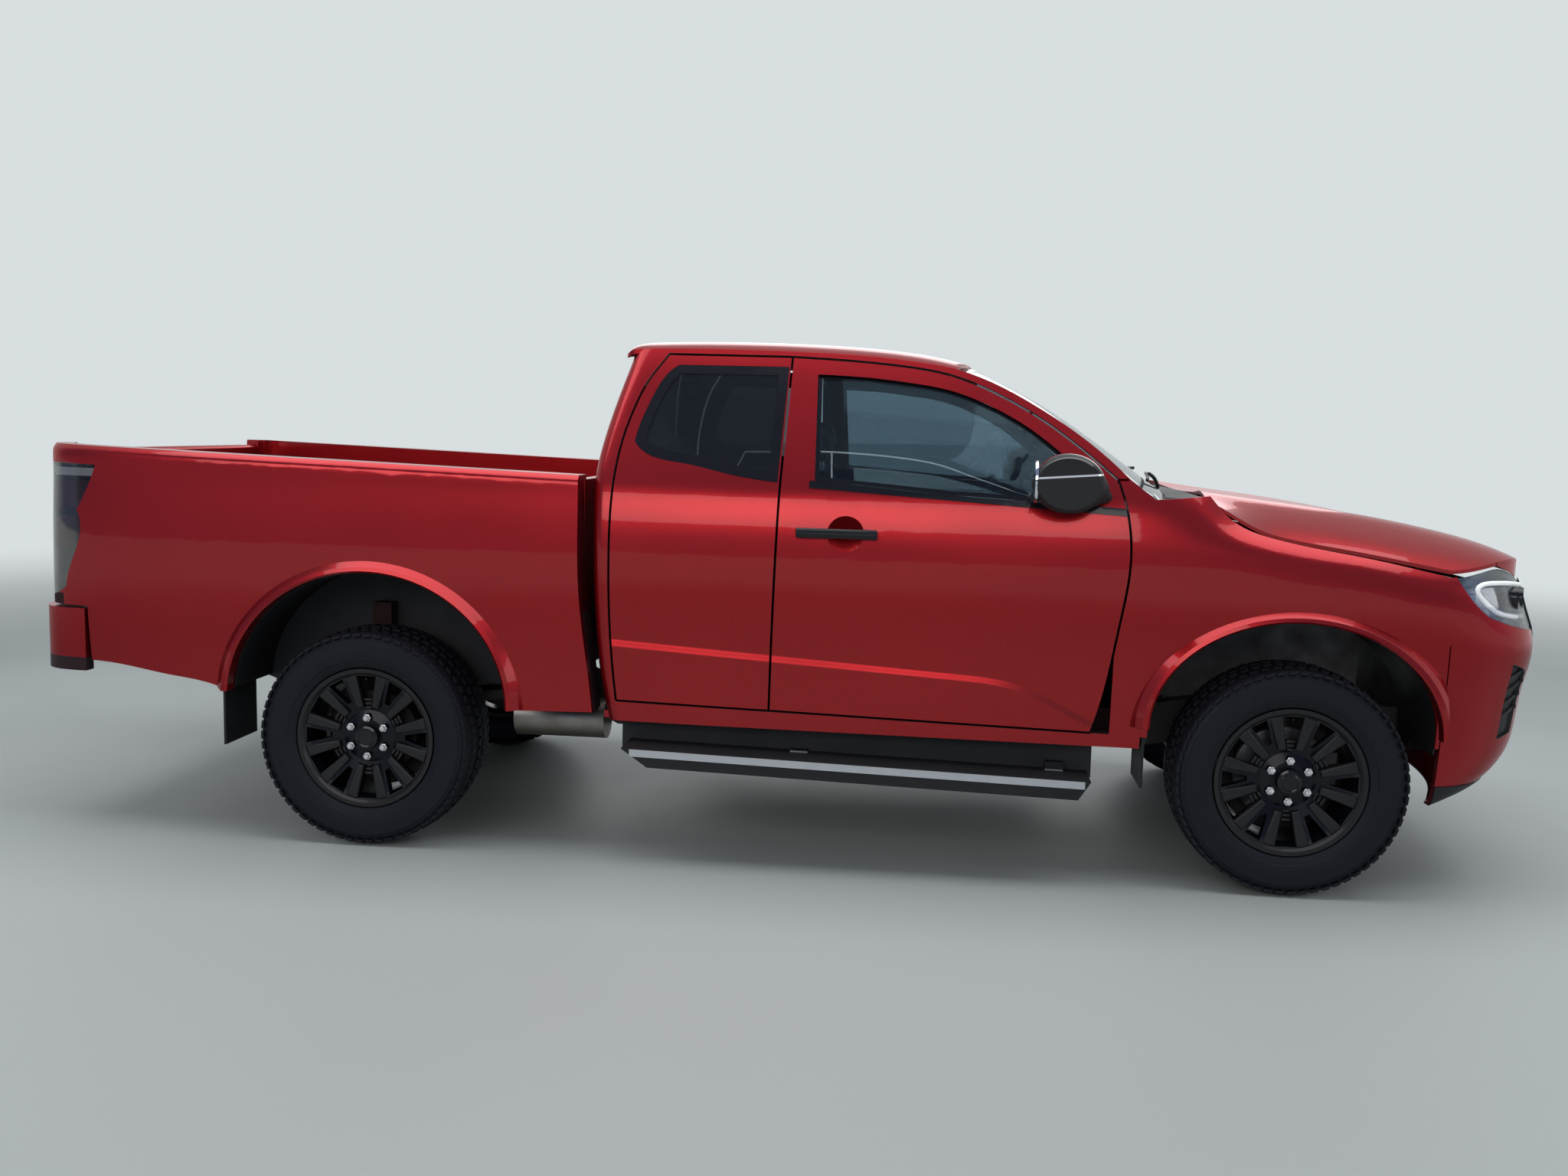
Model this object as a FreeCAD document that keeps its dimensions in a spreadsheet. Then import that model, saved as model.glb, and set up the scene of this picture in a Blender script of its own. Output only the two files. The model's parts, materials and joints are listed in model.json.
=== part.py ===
import FreeCAD, Part
import math
import os

from FreeCAD import Vector

# Pickup truck with an extended cab and a separate load bed.
# X points forward, Y to the truck's left and Z up. The origin is on the ground, below the middle.
# All sizes are in millimetres, read off the right side and mirrored where the truck is symmetric.

doc = FreeCAD.newDocument("pickup")
sheet = doc.addObject("Spreadsheet::Sheet", "Sizes")

DRIVING_SIZES = {
    "overall_length": 5280,
    "wheel_base": 3125,
    "front_overhang": 905,
    "track": 1570,
    "tyre_radius": 380,
    "tyre_width": 262,
    "rim_radius": 244,
    "rim_depth": 225,
    "rim_wall": 9,
    "spoke_count": 6,
    "panel_gap": 8,
    "bonnet_gap": 9,
    "seat_clearance": 0.3,
    "door_skin": 34,
    "door_depth": 105,
    "door_lip": 6,
    "frame_inset": 17,
    "door_inset": 30,
    "sheet_wall": 12,
    "glass_wall": 5,
    "cab_wall": 62,
    "roof_wall": 42,
    "floor_top": 575,
    "floor_wall": 35,
    "tunnel_width": 340,
    "tunnel_height": 125,
    "bulkhead_wall": 36,
    "bed_width": 1530,
    "bed_floor_top": 850,
    "bed_floor_wall": 26,
    "headboard_wall": 45,
    "wheelhouse_wall": 8,
    "rail_centre": 388,
    "rail_width": 72,
    "rail_height": 150,
    "rail_bottom": 370,
    "axle_kick_up": 190,
    "cross_sill_width": 70,
    "tow_bolt_radius": 6.5,
    "tow_bolt_long": 50,
    "tow_bolt_wide": 300,
    "axle_radius": 42,
    "spring_width": 62,
    "spring_depth": 34,
    "engine_length": 700,
    "engine_width": 560,
    "engine_height": 560,
    "engine_bottom": 540,
    "gearbox_length": 620,
    "gearbox_width": 240,
    "gearbox_height": 180,
    "tank_length": 740,
    "tank_width": 300,
    "tank_height": 200,
    "tank_bottom": 330,
    "board_length": 1560,
    "board_width": 210,
    "board_depth": 62,
    "steering_wheel_radius": 185,
    "steering_rim": 15,
    "kingpin_offset": 70,
}

for row, (alias, value) in enumerate(DRIVING_SIZES.items(), start=1):
    sheet.set(f"A{row}", alias)
    sheet.set(f"B{row}", str(value))
    sheet.setAlias(f"B{row}", alias)
doc.recompute()


def size(alias):
    """The value of one cell of the sheet."""
    return float(sheet.get(alias))


nodes = []


def keep(thing, label):
    """Names a finished sub-part; its label is also the name of its file."""
    thing.Label = label
    nodes.append(thing)
    return thing


def feature(label, shape):
    """A sub-part whose curved shape is set directly."""
    thing = doc.addObject("Part::Feature", label)
    thing.Shape = shape
    thing.Placement = FreeCAD.Placement()
    return keep(thing, label)


# Curves and solids


def along(points, place):
    """Value at a place on the smooth curve through (place, value) points, with no overshoot."""
    if place <= points[0][0]:
        return points[0][1]
    if place >= points[-1][0]:
        return points[-1][1]
    steps = [
        (b[1] - a[1]) / (b[0] - a[0]) for a, b in zip(points, points[1:])
    ]
    slopes = [steps[0]]
    for before, after in zip(steps, steps[1:]):
        level = before * after <= 0
        slopes.append(0.0 if level else 2 * before * after / (before + after))
    slopes.append(steps[-1])
    for i, (a, b) in enumerate(zip(points, points[1:])):
        if place <= b[0]:
            run = b[0] - a[0]
            k = (place - a[0]) / run
            return (
                (1 + 2 * k) * (1 - k) ** 2 * a[1]
                + k * (1 - k) ** 2 * run * slopes[i]
                + k * k * (3 - 2 * k) * b[1]
                + k * k * (k - 1) * run * slopes[i + 1]
            )


def mirrored(shape):
    return shape.mirror(Vector(), Vector(0, 1, 0))


def both(shape):
    """A piece and its mirror image on the other side, as one shape of separate solids."""
    return Part.makeCompound(shape.Solids + mirrored(shape).Solids)


def box(x, y, z):
    """A block between two places on each axis."""
    solid = Part.makeBox(x[1] - x[0], y[1] - y[0], z[1] - z[0])
    solid.translate(Vector(x[0], y[0], z[0]))
    return solid


def spline_patch(poles):
    """A smooth surface drawn by a net of poles."""
    counts = [len(poles), len(poles[0])]
    degrees = [min(3, count - 1) for count in counts]
    knots, repeats = [], []
    for count, degree in zip(counts, degrees):
        spans = count - degree
        knots.append([float(i) for i in range(spans + 1)])
        repeats.append([degree + 1] + [1] * (spans - 1) + [degree + 1])
    surface = Part.BSplineSurface()
    surface.buildFromPolesMultsKnots(
        poles, repeats[0], repeats[1], knots[0], knots[1], False, False, degrees[0], degrees[1]
    )
    return surface


def slab(outer_poles, inner_poles):
    """A closed panel between two nets of poles of the same layout."""
    outer, inner = spline_patch(outer_poles), spline_patch(inner_poles)
    faces = [outer.toShape(), inner.toShape()]
    outer_ends, inner_ends = outer.bounds(), inner.bounds()
    for side in range(2):
        pair = (outer.uIso(outer_ends[side]), inner.uIso(inner_ends[side]))
        faces.append(Part.makeRuledSurface(pair[0].toShape(), pair[1].toShape()))
        pair = (outer.vIso(outer_ends[side + 2]), inner.vIso(inner_ends[side + 2]))
        faces.append(Part.makeRuledSurface(pair[0].toShape(), pair[1].toShape()))
    shell = Part.Shell(faces)
    shell.sewShape()
    solid = Part.Solid(shell)
    if solid.Volume < 0:
        solid.reverse()
    return solid


def curve_edge(points):
    """A straight edge through two points, or a smooth one through more."""
    if len(points) == 2:
        return Part.LineSegment(points[0], points[1]).toShape()
    curve = Part.BSplineCurve()
    curve.interpolate(points)
    return curve.toShape()


def outline(runs):
    """A flat face in the XZ plane, its edge made of runs that follow each other."""
    edges = []
    for run in runs:
        edges.append(curve_edge([Vector(x, 0, z) for x, z in run]))
    start, end = runs[0][0], runs[-1][-1]
    if start != end:
        edges.append(curve_edge([Vector(end[0], 0, end[1]), Vector(start[0], 0, start[1])]))
    return Part.Face(Part.Wire(edges))


def grown(face, margin):
    """The flat face with its edge moved outwards, drawn again as plain spline curves."""
    edges = []
    for edge in face.makeOffset2D(margin).OuterWire.OrderedEdges:
        if isinstance(edge.Curve, Part.OffsetCurve):
            edge = edge.toNurbs().Edges[0]
        edges.append(edge)
    return Part.Face(Part.Wire(edges))


def side_cutter(face, y_from, y_to, grow=0.0):
    """The XZ outline, grown by a margin, as a block between two widths."""
    if grow:
        face = grown(face, grow)
    block = face.extrude(Vector(0, y_to - y_from, 0))
    block.translate(Vector(0, y_from, 0))
    return block


def front_cutter(points, x_from, x_to):
    """A YZ outline as a block between two lengths."""
    wire = Part.makePolygon([Vector(x_from, y, z) for y, z in points + points[:1]])
    return Part.Face(wire).extrude(Vector(x_to - x_from, 0, 0))


def plan_cutter(runs, z_from, z_to):
    """An XY outline as a block between two heights."""
    edges = [curve_edge([Vector(x, y, z_from) for x, y in run]) for run in runs]
    start, end = runs[0][0], runs[-1][-1]
    if start != end:
        edges.append(
            curve_edge([Vector(end[0], end[1], z_from), Vector(start[0], start[1], z_from)])
        )
    return Part.Face(Part.Wire(edges)).extrude(Vector(0, 0, z_to - z_from))


# Main places

front_axle = size("overall_length") / 2 - size("front_overhang")
rear_axle = front_axle - size("wheel_base")
nose = size("overall_length") / 2
tail = -nose
wheel_plane = size("track") / 2
hub_height = size("tyre_radius")
gap = size("panel_gap")
near = size("seat_clearance")
OUTSIDE = 1100.0

# The body's side: half width against height, its taper to the back, and the roof's edge

SIDE_SECTION = [
    (300, 846), (470, 868), (600, 884), (750, 898), (930, 905), (1100, 901), (1200, 890),
    (1280, 872), (1330, 850), (1400, 815), (1500, 765), (1600, 716), (1700, 668), (1790, 622),
]
GUTTER = [
    (-640, 1746), (-500, 1749), (-300, 1753), (-45, 1751), (218, 1743), (428, 1727),
    (600, 1702), (760, 1643), (865, 1587), (970, 1523), (1180, 1350), (1262, 1285), (1300, 1268),
]
CAB_REAR = [(470, -540), (572, -564), (760, -584), (1000, -596), (1314, -601), (1431, -588),
            (1548, -562), (1651, -535), (1760, -502)]
FENDER_TOP = [
    (1150, 1345), (1300, 1322), (1438, 1284), (1539, 1225), (1640, 1180), (1735, 1164),
    (1880, 1144), (2025, 1120), (2205, 1082), (2330, 1062), (2640, 1020),
]
SHOULDER_ROLL = 62
SHOULDER_DEPTH = 85
CORNER_RADIUS = 46
REAR_TAPER = 10


def section(height):
    return along(SIDE_SECTION, height)


def roll_in(x, z):
    """How far the top of the front fender turns in towards the bonnet."""
    over = z - (along(FENDER_TOP, x) - SHOULDER_DEPTH)
    reach = min(1.0, max(0.0, (x - 1380) / 220))
    share = min(1.6, max(0.0, over) / SHOULDER_DEPTH)
    return reach * SHOULDER_ROLL * share ** 2


def corner_inset(distance, radius):
    """How far a rounded corner stands in, at a distance from its end."""
    if distance >= radius:
        return 0.0
    rest = 1 - max(0.0, distance) / radius
    return radius * (1 - math.sqrt(1 - rest * rest))


CAB_STATIONS = [
    0, 4, 14, 30, 52, 100, 180, 300, 420, 540, 660, 780, 900, 1020, 1140, 1260, 1380, 1500,
    1620, 1740, 1860, 1950,
]
CAB_HEIGHTS = [
    430, 470, 530, 600, 680, 760, 840, 930, 1020, 1100, 1170, 1230, 1280, 1320, 1360, 1420,
    1500, 1580, 1660, 1720, 1790,
]


def cab_side_poles(inset):
    """The net of the cab's right side, moved inwards by an inset that may depend on height."""
    net = []
    for station in CAB_STATIONS:
        column = []
        for z in CAB_HEIGHTS:
            x = along(CAB_REAR, z) + station
            y = section(z) - REAR_TAPER * (min(0.0, x) / 600) ** 2
            y -= corner_inset(station, CORNER_RADIUS) + roll_in(x, z)
            column.append(Vector(x, -(y - inset(z)), z))
        net.append(column)
    return net


def cab_side(inset_out, inset_in):
    return slab(cab_side_poles(inset_out), cab_side_poles(inset_in))


def none(z):
    return 0.0


# Outlines of the doors and windows, seen from the right

FRONT_DOOR_NOSE = [(1086, 515), (1119, 639), (1157, 868), (1184, 1069), (1172, 1230), (1140, 1342)]
FRONT_DOOR_TOP = [(1140, 1342), (1004, 1455), (846, 1562), (741, 1617), (584, 1676), (428, 1702),
                  (218, 1719), (53, 1727)]
front_door_outline = outline([
    [(22, 541), (1086, 515)],
    FRONT_DOOR_NOSE,
    FRONT_DOOR_TOP,
    [(53, 1727), (41, 1283), (22, 541)],
])
rear_door_outline = outline([
    [(22 - gap, 541), (-505, 552)],
    [(-505, 552), (-524, 800), (-530, 1100), (-524, 1300), (-508, 1440), (-478, 1550),
     (-440, 1640), (-400, 1700), (-380, 1729)],
    [(-380, 1729), (53 - gap, 1727)],
    [(53 - gap, 1727), (41 - gap, 1283), (22 - gap, 541)],
])
front_window_outline = outline([
    [(152, 1316), (500, 1288), (800, 1270), (1062, 1262)],
    [(1062, 1262), (1083, 1290), (1062, 1345)],
    [(1062, 1345), (942, 1442), (865, 1500), (789, 1546), (687, 1594), (585, 1628), (484, 1646),
     (320, 1664), (140, 1672)],
    [(140, 1672), (152, 1316)],
])
QUARTER_SILL = 1306
quarter_glass_outline = outline([
    [(28, QUARTER_SILL), (40, 1696)],
    [(40, 1696), (-343, 1696)],
    [(-343, 1696), (-376, 1670), (-407, 1624), (-438, 1551), (-463, 1473), (-470, 1430)],
    [(-470, 1430), (-440, 1400), (-285, 1360), (-152, 1332), (28, QUARTER_SILL)],
])
PILLAR_SEAM = 1342.0
PILLAR_FOOT = (1262, 1285)
cab_side_outline = outline([
    [(-549, 477), (1250, 464)],
    [(1250, 464), (1250, 507)],
    [(1250, 507), (1080, 510)],
    [(1080, 510), (1080, PILLAR_SEAM + gap)],
    [(1080, PILLAR_SEAM + gap), (1180, PILLAR_SEAM + gap)],
    [(1180, PILLAR_SEAM + gap), (1023, 1485), (865, 1587), (760, 1643), (600, 1702)],
    [(600, 1702), (428, 1727), (218, 1743), (-45, 1751), (-300, 1753), (-512, 1749)],
    [(-512, 1749), (-620, 1749)],
    [(-620, 1749), (-620, 477)],
])

# Wheel arches: half an ellipse above each axle

FRONT_ARCH = {"middle": front_axle - 2, "height": 540, "reach": 460, "rise": 366}
REAR_ARCH = {"middle": rear_axle + 9, "height": 505, "reach": 497, "rise": 456}
FLARE_PROFILE = [(0, 0), (0, 46), (7, 52), (22, 48), (44, 26), (62, 0)]


def arch_block(arch, y_from, y_to, grow=0.0):
    """What a wheel arch takes out of the body between two widths."""
    reach, rise = arch["reach"] + grow, arch["rise"] + grow
    disc = Part.Face(Part.Wire(Part.Ellipse(Vector(), reach, rise).toShape()))
    disc.rotate(Vector(), Vector(1, 0, 0), 90)
    disc.translate(Vector(arch["middle"], y_from, arch["height"]))
    skirt = box(
        (arch["middle"] - reach, arch["middle"] + reach), (y_from, y_to), (0, arch["height"])
    )
    return disc.extrude(Vector(0, y_to - y_from, 0)).fuse(skirt)


def flare(arch, base):
    """The lip round a wheel arch, on the right side, standing out from a half width."""
    points = [Vector(arch["reach"] + r, -(base + out), 0) for r, out in FLARE_PROFILE]
    face = Part.Face(Part.makePolygon(points + points[:1]))
    ring = face.revolve(Vector(), Vector(0, 1, 0), -180)
    squeeze = FreeCAD.Matrix()
    squeeze.scale(1, 1, arch["rise"] / arch["reach"])
    ring = ring.transformGeometry(squeeze)
    ring.translate(Vector(arch["middle"], 0, arch["height"]))
    return ring


# Cab shell: side frames, roof, back wall, floor and front bulkhead


def cab_inset(z):
    return size("cab_wall") if z < 1300 else size("cab_wall") - 12


def roof_edge(x):
    return section(along(GUTTER, x)) - REAR_TAPER * (min(0.0, x) / 600) ** 2 - 1


ROOF_STATIONS = [-509, -503, -490, -466, -420, -300, -150, 0, 150, 300, 420, 520, 600, 670, 700]
ROOF_SHARES = [-1, -0.985, -0.95, -0.88, -0.76, -0.58, -0.36, -0.12]
ROOF_CROWN = [(-510, 40), (0, 47), (400, 47), (600, 44), (700, 42)]
REAR_BOW = 28


def roof_poles(drop):
    """The net of the roof, from the back to the windscreen, lowered by a drop."""
    shares = ROOF_SHARES + [-share for share in reversed(ROOF_SHARES)]
    net = []
    for x in ROOF_STATIONS:
        row = []
        rear_round = corner_inset(x + 510, 44)
        bow = REAR_BOW + (SCREEN_BOW - REAR_BOW) * max(0, x) / ROOF_STATIONS[-1]
        for share in shares:
            at = x - bow * share * share
            edge = roof_edge(at) - 0.6 * rear_round
            rise = along(ROOF_CROWN, x) * (1 - abs(share) ** 4) ** 0.7
            thinner = 1 - 0.65 * abs(share) ** 4
            z = along(GUTTER, at) + rise - 0.5 * rear_round - drop * thinner
            row.append(Vector(at, share * edge, z))
        net.append(row)
    return net


def back_wall(depth_from, depth_to):
    shares = [-1, -0.6, -0.2, 0.2, 0.6, 1]
    heights = [z for z, x in CAB_REAR[:-1]] + [1745]

    def net(depth):
        rows = []
        for share in shares:
            row = []
            for z in heights:
                y = share * (section(z) - REAR_TAPER - CORNER_RADIUS + 4)
                row.append(Vector(along(CAB_REAR, z) + depth, y, z))
            rows.append(row)
        return rows

    return slab(net(depth_from), net(depth_to))


SCREEN_CENTRE = [(682, 1722), (805, 1668), (912, 1613), (1020, 1547), (1127, 1476), (1235, 1400),
                 (1315, 1344), (1378, 1296)]
SCREEN_BOW = 92
SCREEN_SIDE = 50.4


def screen_poles(back):
    net = []
    for x, z in SCREEN_CENTRE:
        low = along(GUTTER, x - SCREEN_BOW)
        half = section(low) - SCREEN_SIDE
        row = []
        for share in (-1, -0.75, -0.5, -0.2, 0.2, 0.5, 0.75, 1):
            bend = share * share
            height = z + (low - z) * bend - back
            row.append(Vector(x - SCREEN_BOW * bend - back, share * half, height))
        net.append(row)
    return net


POST_X = (1196, 1262)
BULKHEAD_X = 1200
FLOOR_HALF = 764
SILL_WEB = 30
SILL_SEAL = 777.4
COWL_FLOOR = 1239.7
BONNET_REAR = 1442
REAR_WINDOW = [(-560, 1372), (560, 1372), (574, 1400), (520, 1640), (490, 1662), (-490, 1662),
               (-520, 1640), (-574, 1400)]


def clear_of_screen(shape):
    """Takes the windscreen, and the space in front of it, from a piece that carries it."""
    room = slab(screen_poles(-60), screen_poles(size("glass_wall") + 2 * near))
    shape = shape.cut(room)
    room.translate(Vector(-2 * near, 0, near))
    return shape.cut(room)


def build_cab_shell():
    side = cab_side(none, cab_inset).common(side_cutter(cab_side_outline, -OUTSIDE, 0))
    for opening in (front_door_outline, rear_door_outline):
        side = side.cut(side_cutter(opening, -OUTSIDE, 0, gap))
    foot = cab_side(lambda z: size("sheet_wall") + 6, cab_inset).common(side_cutter(outline([
        [(1080, PILLAR_FOOT[1]), PILLAR_FOOT],
        [PILLAR_FOOT, (1180, PILLAR_SEAM + gap)],
        [(1180, PILLAR_SEAM + gap), (1080, 1440)],
        [(1080, 1440), (1080, PILLAR_FOOT[1])],
    ]), -OUTSIDE, 0)).cut(side_cutter(front_door_outline, -OUTSIDE, 0, gap))
    side = side.fuse(foot)
    side = side.fuse(box(POST_X, (-850, -790), (size("floor_top") - 40, PILLAR_FOOT[1] + 2)))
    shell = side.fuse(mirrored(side))
    shell = shell.fuse(slab(roof_poles(0), roof_poles(size("roof_wall"))))
    top = size("floor_top")
    bottom = top - size("floor_wall")
    wall = back_wall(0, 40).cut(front_cutter(REAR_WINDOW, -800, -400))
    shell = shell.fuse(wall.cut(box((-800, -400), (-770, 770), (300, bottom))))
    back, front = -560, BULKHEAD_X + size("bulkhead_wall")
    floor = box((back, front), (-FLOOR_HALF, FLOOR_HALF), (bottom, top))
    bulkhead = box((BULKHEAD_X, front), (-838, 838), (bottom, COWL_FLOOR))
    sill = box((back, front), (-822, -FLOOR_HALF + SILL_WEB), (478, 503))
    web = box((back, front), (-FLOOR_HALF, -FLOOR_HALF + SILL_WEB), (478, top - 1))
    for x_from, x_to in ((-120, -40), (200, 1000)):
        web = web.fuse(box((x_from, x_to), (-FLOOR_HALF, -FLOOR_HALF + SILL_WEB), (552, 606)))
        web = web.fuse(box((x_from, x_to), (-SILL_SEAL, -FLOOR_HALF + 1), (596, 606)))
    shelf = box((BULKHEAD_X, BONNET_REAR - 30), (-780, 780), (COWL_FLOOR - 30, COWL_FLOOR))
    half = size("tunnel_width") / 2
    tunnel = box((back, front), (-half, half), (bottom, top + size("tunnel_height")))
    for piece in (floor, bulkhead, shelf, tunnel, sill, web, mirrored(sill), mirrored(web)):
        shell = shell.fuse(piece)
    hollow = box(
        (back - 100, front + 100), (-half + 30, half - 30),
        (bottom - 100, top + size("tunnel_height") - 30),
    )
    return clear_of_screen(shell.cut(hollow)).removeSplitter()


feature("cab_shell", build_cab_shell())

# Windscreen and rear window

feature("windscreen", slab(screen_poles(0), screen_poles(size("glass_wall"))))
glass = back_wall(14, 14 + size("glass_wall"))
feature("rear_window", glass.common(front_cutter(REAR_WINDOW, -800, -400)))

# Doors


GLASS_SEAT = 8
FRIT_WIDTH = 34
GLASS_INSET = 14
CORE_TOP = 1262
CORE_OVERLAP = 14
LIP_OVERLAP = 3


def door_shape(face, window=None, recess=None):
    """A door of the right side: a thin lip at its edge, its frame, and a deeper inner panel."""
    skin = size("door_skin")
    lip = cab_side(none, lambda z: size("door_lip")).common(side_cutter(face, -OUTSIDE, 0))
    shape = cab_side(lambda z: size("door_lip") - LIP_OVERLAP, lambda z: skin)
    shape = shape.common(side_cutter(face, -OUTSIDE, 0, -size("frame_inset")))
    shape = lip.fuse(shape)
    core = cab_side(lambda z: skin - CORE_OVERLAP, lambda z: size("door_depth"))
    core = core.common(side_cutter(face, -OUTSIDE, 0, -size("door_inset")))
    core = core.common(box((-2000, 2000), (-OUTSIDE, 0), (0, CORE_TOP)))
    shape = shape.fuse(core)
    if window:
        shape = shape.cut(side_cutter(window, -OUTSIDE, 0))
    if recess:
        seat = cab_side(lambda z: -5, lambda z: GLASS_SEAT)
        shape = shape.cut(seat.common(side_cutter(recess, -OUTSIDE, 0)))
        shape = shape.cut(side_cutter(recess, -OUTSIDE, 0, -FRIT_WIDTH))
    return shape


HANDLE_X = (100, 366)
HANDLE_Y = (-924, -908)
HANDLE_Z = (1131, 1161)
HANDLE_ROUND = 6
HANDLE_FOOT = 40
HANDLE_SEAT = -888
CUP_X = 262
CUP_Z = 1152
CUP_RADIUS = 62
CUP_DEPTH = 24


def door_handle():
    """A bar in front of the door, on a foot at each end."""
    handle = box(HANDLE_X, HANDLE_Y, HANDLE_Z)
    handle = handle.makeFillet(HANDLE_ROUND, handle.Edges)
    for x in (HANDLE_X[0] + 6, HANDLE_X[1] - 6 - HANDLE_FOOT):
        foot = box((x, x + HANDLE_FOOT), (HANDLE_Y[1] - 4, HANDLE_SEAT),
                   (HANDLE_Z[0] + 5, HANDLE_Z[1] - 5))
        handle = handle.fuse(foot)
    return handle


def handle_cup():
    """A ball that takes a round cup, for the fingers, out of the door behind the handle."""
    ball = (CUP_RADIUS ** 2 + CUP_DEPTH ** 2) / (2 * CUP_DEPTH)
    return Part.makeSphere(ball, Vector(CUP_X, CUP_DEPTH - ball - section(CUP_Z), CUP_Z))


front_door = door_shape(front_door_outline, window=front_window_outline)
front_door = front_door.cut(handle_cup()).fuse(door_handle())
rear_door = door_shape(rear_door_outline, recess=quarter_glass_outline)
door_glass = cab_side(
    lambda z: GLASS_INSET, lambda z: GLASS_INSET + size("glass_wall")
).common(side_cutter(front_window_outline, -OUTSIDE, 0, -near))
quarter_glass = cab_side(
    lambda z: GLASS_SEAT - near - size("glass_wall"), lambda z: GLASS_SEAT - near
).common(side_cutter(quarter_glass_outline, -OUTSIDE, 0, -near))

for label, shape in (
    ("front_door", front_door),
    ("front_door_glass", door_glass),
    ("rear_door", rear_door),
    ("quarter_glass", quarter_glass),
):
    feature(label + "_right", shape)
    feature(label + "_left", mirrored(shape))

# Door mirrors

MIRROR_SECTIONS = [
    (850, 1094, 1292, 30, 22), (885, 1086, 1294, 34, 24), (915, 1060, 1302, 50, 36),
    (940, 1004, 1322, 98, 70), (965, 976, 1332, 112, 90), (1010, 970, 1334, 114, 94),
    (1042, 968, 1334, 98, 80),
]


def mirror_shape():
    wires = []
    for y, x, z, half_long, half_tall in MIRROR_SECTIONS:
        ellipse = Part.Ellipse(Vector(), half_long, half_tall).toShape()
        ellipse.rotate(Vector(), Vector(1, 0, 0), 90)
        ellipse.rotate(Vector(), Vector(0, 1, 0), 4)
        ellipse.translate(Vector(x, -y, z))
        wires.append(Part.Wire(ellipse))
    return Part.makeLoft(wires, True, False)


door_skin_block = cab_side(lambda z: -near, lambda z: 60)
mirror = mirror_shape().cut(door_skin_block)
mirror = sorted(mirror.Solids, key=lambda solid: solid.Volume)[-1]
feature("mirror_right", mirror)
feature("mirror_left", mirrored(mirror))

# Front end: one net runs from the door round the nose to the other side

NOSE_PLAN = [
    (1150, 905), (1300, 905), (1450, 904), (1600, 902), (1750, 900), (1900, 897), (2030, 892),
    (2150, 883), (2250, 868), (2340, 838), (2420, 786), (2484, 706), (2534, 600), (2572, 460),
    (2596, 300), (2606, 120),
]
NOSE_PROFILE = [
    (300, -235), (342, -123), (400, -58), (430, -39), (486, -12), (555, -4), (665, 2), (720, 16),
    (802, 32), (856, 28), (923, 0), (989, -18), (1050, -40), (1100, -78), (1150, -130),
    (1350, -330),
]
NOSE_HEIGHTS = [
    300, 330, 370, 420, 480, 550, 620, 690, 760, 820, 880, 940, 1000, 1050, 1090, 1120, 1150,
    1180, 1220, 1260, 1300, 1350,
]
WIDEST = 905.0
NOSE_REACH = 11.25


def nose_poles(inset):
    net = []
    plan = NOSE_PLAN + [(x, -y) for x, y in reversed(NOSE_PLAN)]
    for index, (px, py) in enumerate(plan):
        ahead = min(1.0, max(0.0, (px - 2100) / 400))
        before = plan[max(0, index - 1)]
        after = plan[min(len(plan) - 1, index + 1)]
        run = math.hypot(after[0] - before[0], after[1] - before[1])
        turn_x, turn_y = (before[1] - after[1]) / run, (after[0] - before[0]) / run
        row = []
        for z in NOSE_HEIGHTS:
            x = px + ahead * (along(NOSE_PROFILE, z) + NOSE_REACH)
            y = py * (section(z) - roll_in(px, z) * (1 - ahead)) / WIDEST
            row.append(Vector(x - turn_x * inset, -(y - turn_y * inset), z))
        net.append(row)
    return net


def nose_slab(inset_out, inset_in):
    return slab(nose_poles(inset_out), nose_poles(inset_in))


bonnet_runs = [
    [(BONNET_REAR, -806), (1560, -828), (1700, -836), (2000, -838), (2205, -832)],
    [(2205, -832), (2330, -772), (2425, -690), (2490, -600), (2535, -470), (2562, -300),
     (2574, 0)],
    [(2574, 0), (2562, 300), (2535, 470), (2490, 600), (2425, 690), (2330, 772), (2205, 832)],
    [(2205, 832), (2000, 838), (1700, 836), (1560, 828), (BONNET_REAR, 806)],
    [(BONNET_REAR, 806), (BONNET_REAR + 22, 400), (BONNET_REAR + 30, 0),
     (BONNET_REAR + 22, -400), (BONNET_REAR, -806)],
]
BONNET_CENTRE = [
    (1400, 1301), (1538, 1292), (1652, 1281), (1937, 1249), (2221, 1204), (2390, 1166),
    (2504, 1124), (2574, 1078), (2640, 1010),
]
BONNET_STATIONS = [1400, 1460, 1520, 1580, 1640, 1720, 1820, 1940, 2060, 2180, 2280, 2360, 2430,
                   2490, 2540, 2590, 2640]
BONNET_SHARES = [-1.02, -0.97, -0.92, -0.86, -0.8, -0.72, -0.62, -0.5, -0.35, -0.15]
BONNET_HALF = 836.0


def bonnet_height(x, share):
    """Height of the bonnet's top: level in the middle, a raised line each side, falling sides."""
    centre = along(BONNET_CENTRE, x)
    edge = along(FENDER_TOP, x)
    fall = abs(share) ** 5
    ridge = 16 * math.exp(-((abs(share) - 0.66) / 0.12) ** 2) - 10 * math.exp(-(share / 0.3) ** 2)
    fade = min(1.0, max(0.0, (2600 - x) / 500))
    return centre * (1 - fall) + edge * fall + ridge * fade


def bonnet_poles(drop):
    shares = BONNET_SHARES + [-share for share in reversed(BONNET_SHARES)]
    net = []
    for x in BONNET_STATIONS:
        row = [Vector(x, share * BONNET_HALF, bonnet_height(x, share) - drop) for share in shares]
        net.append(row)
    return net


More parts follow.
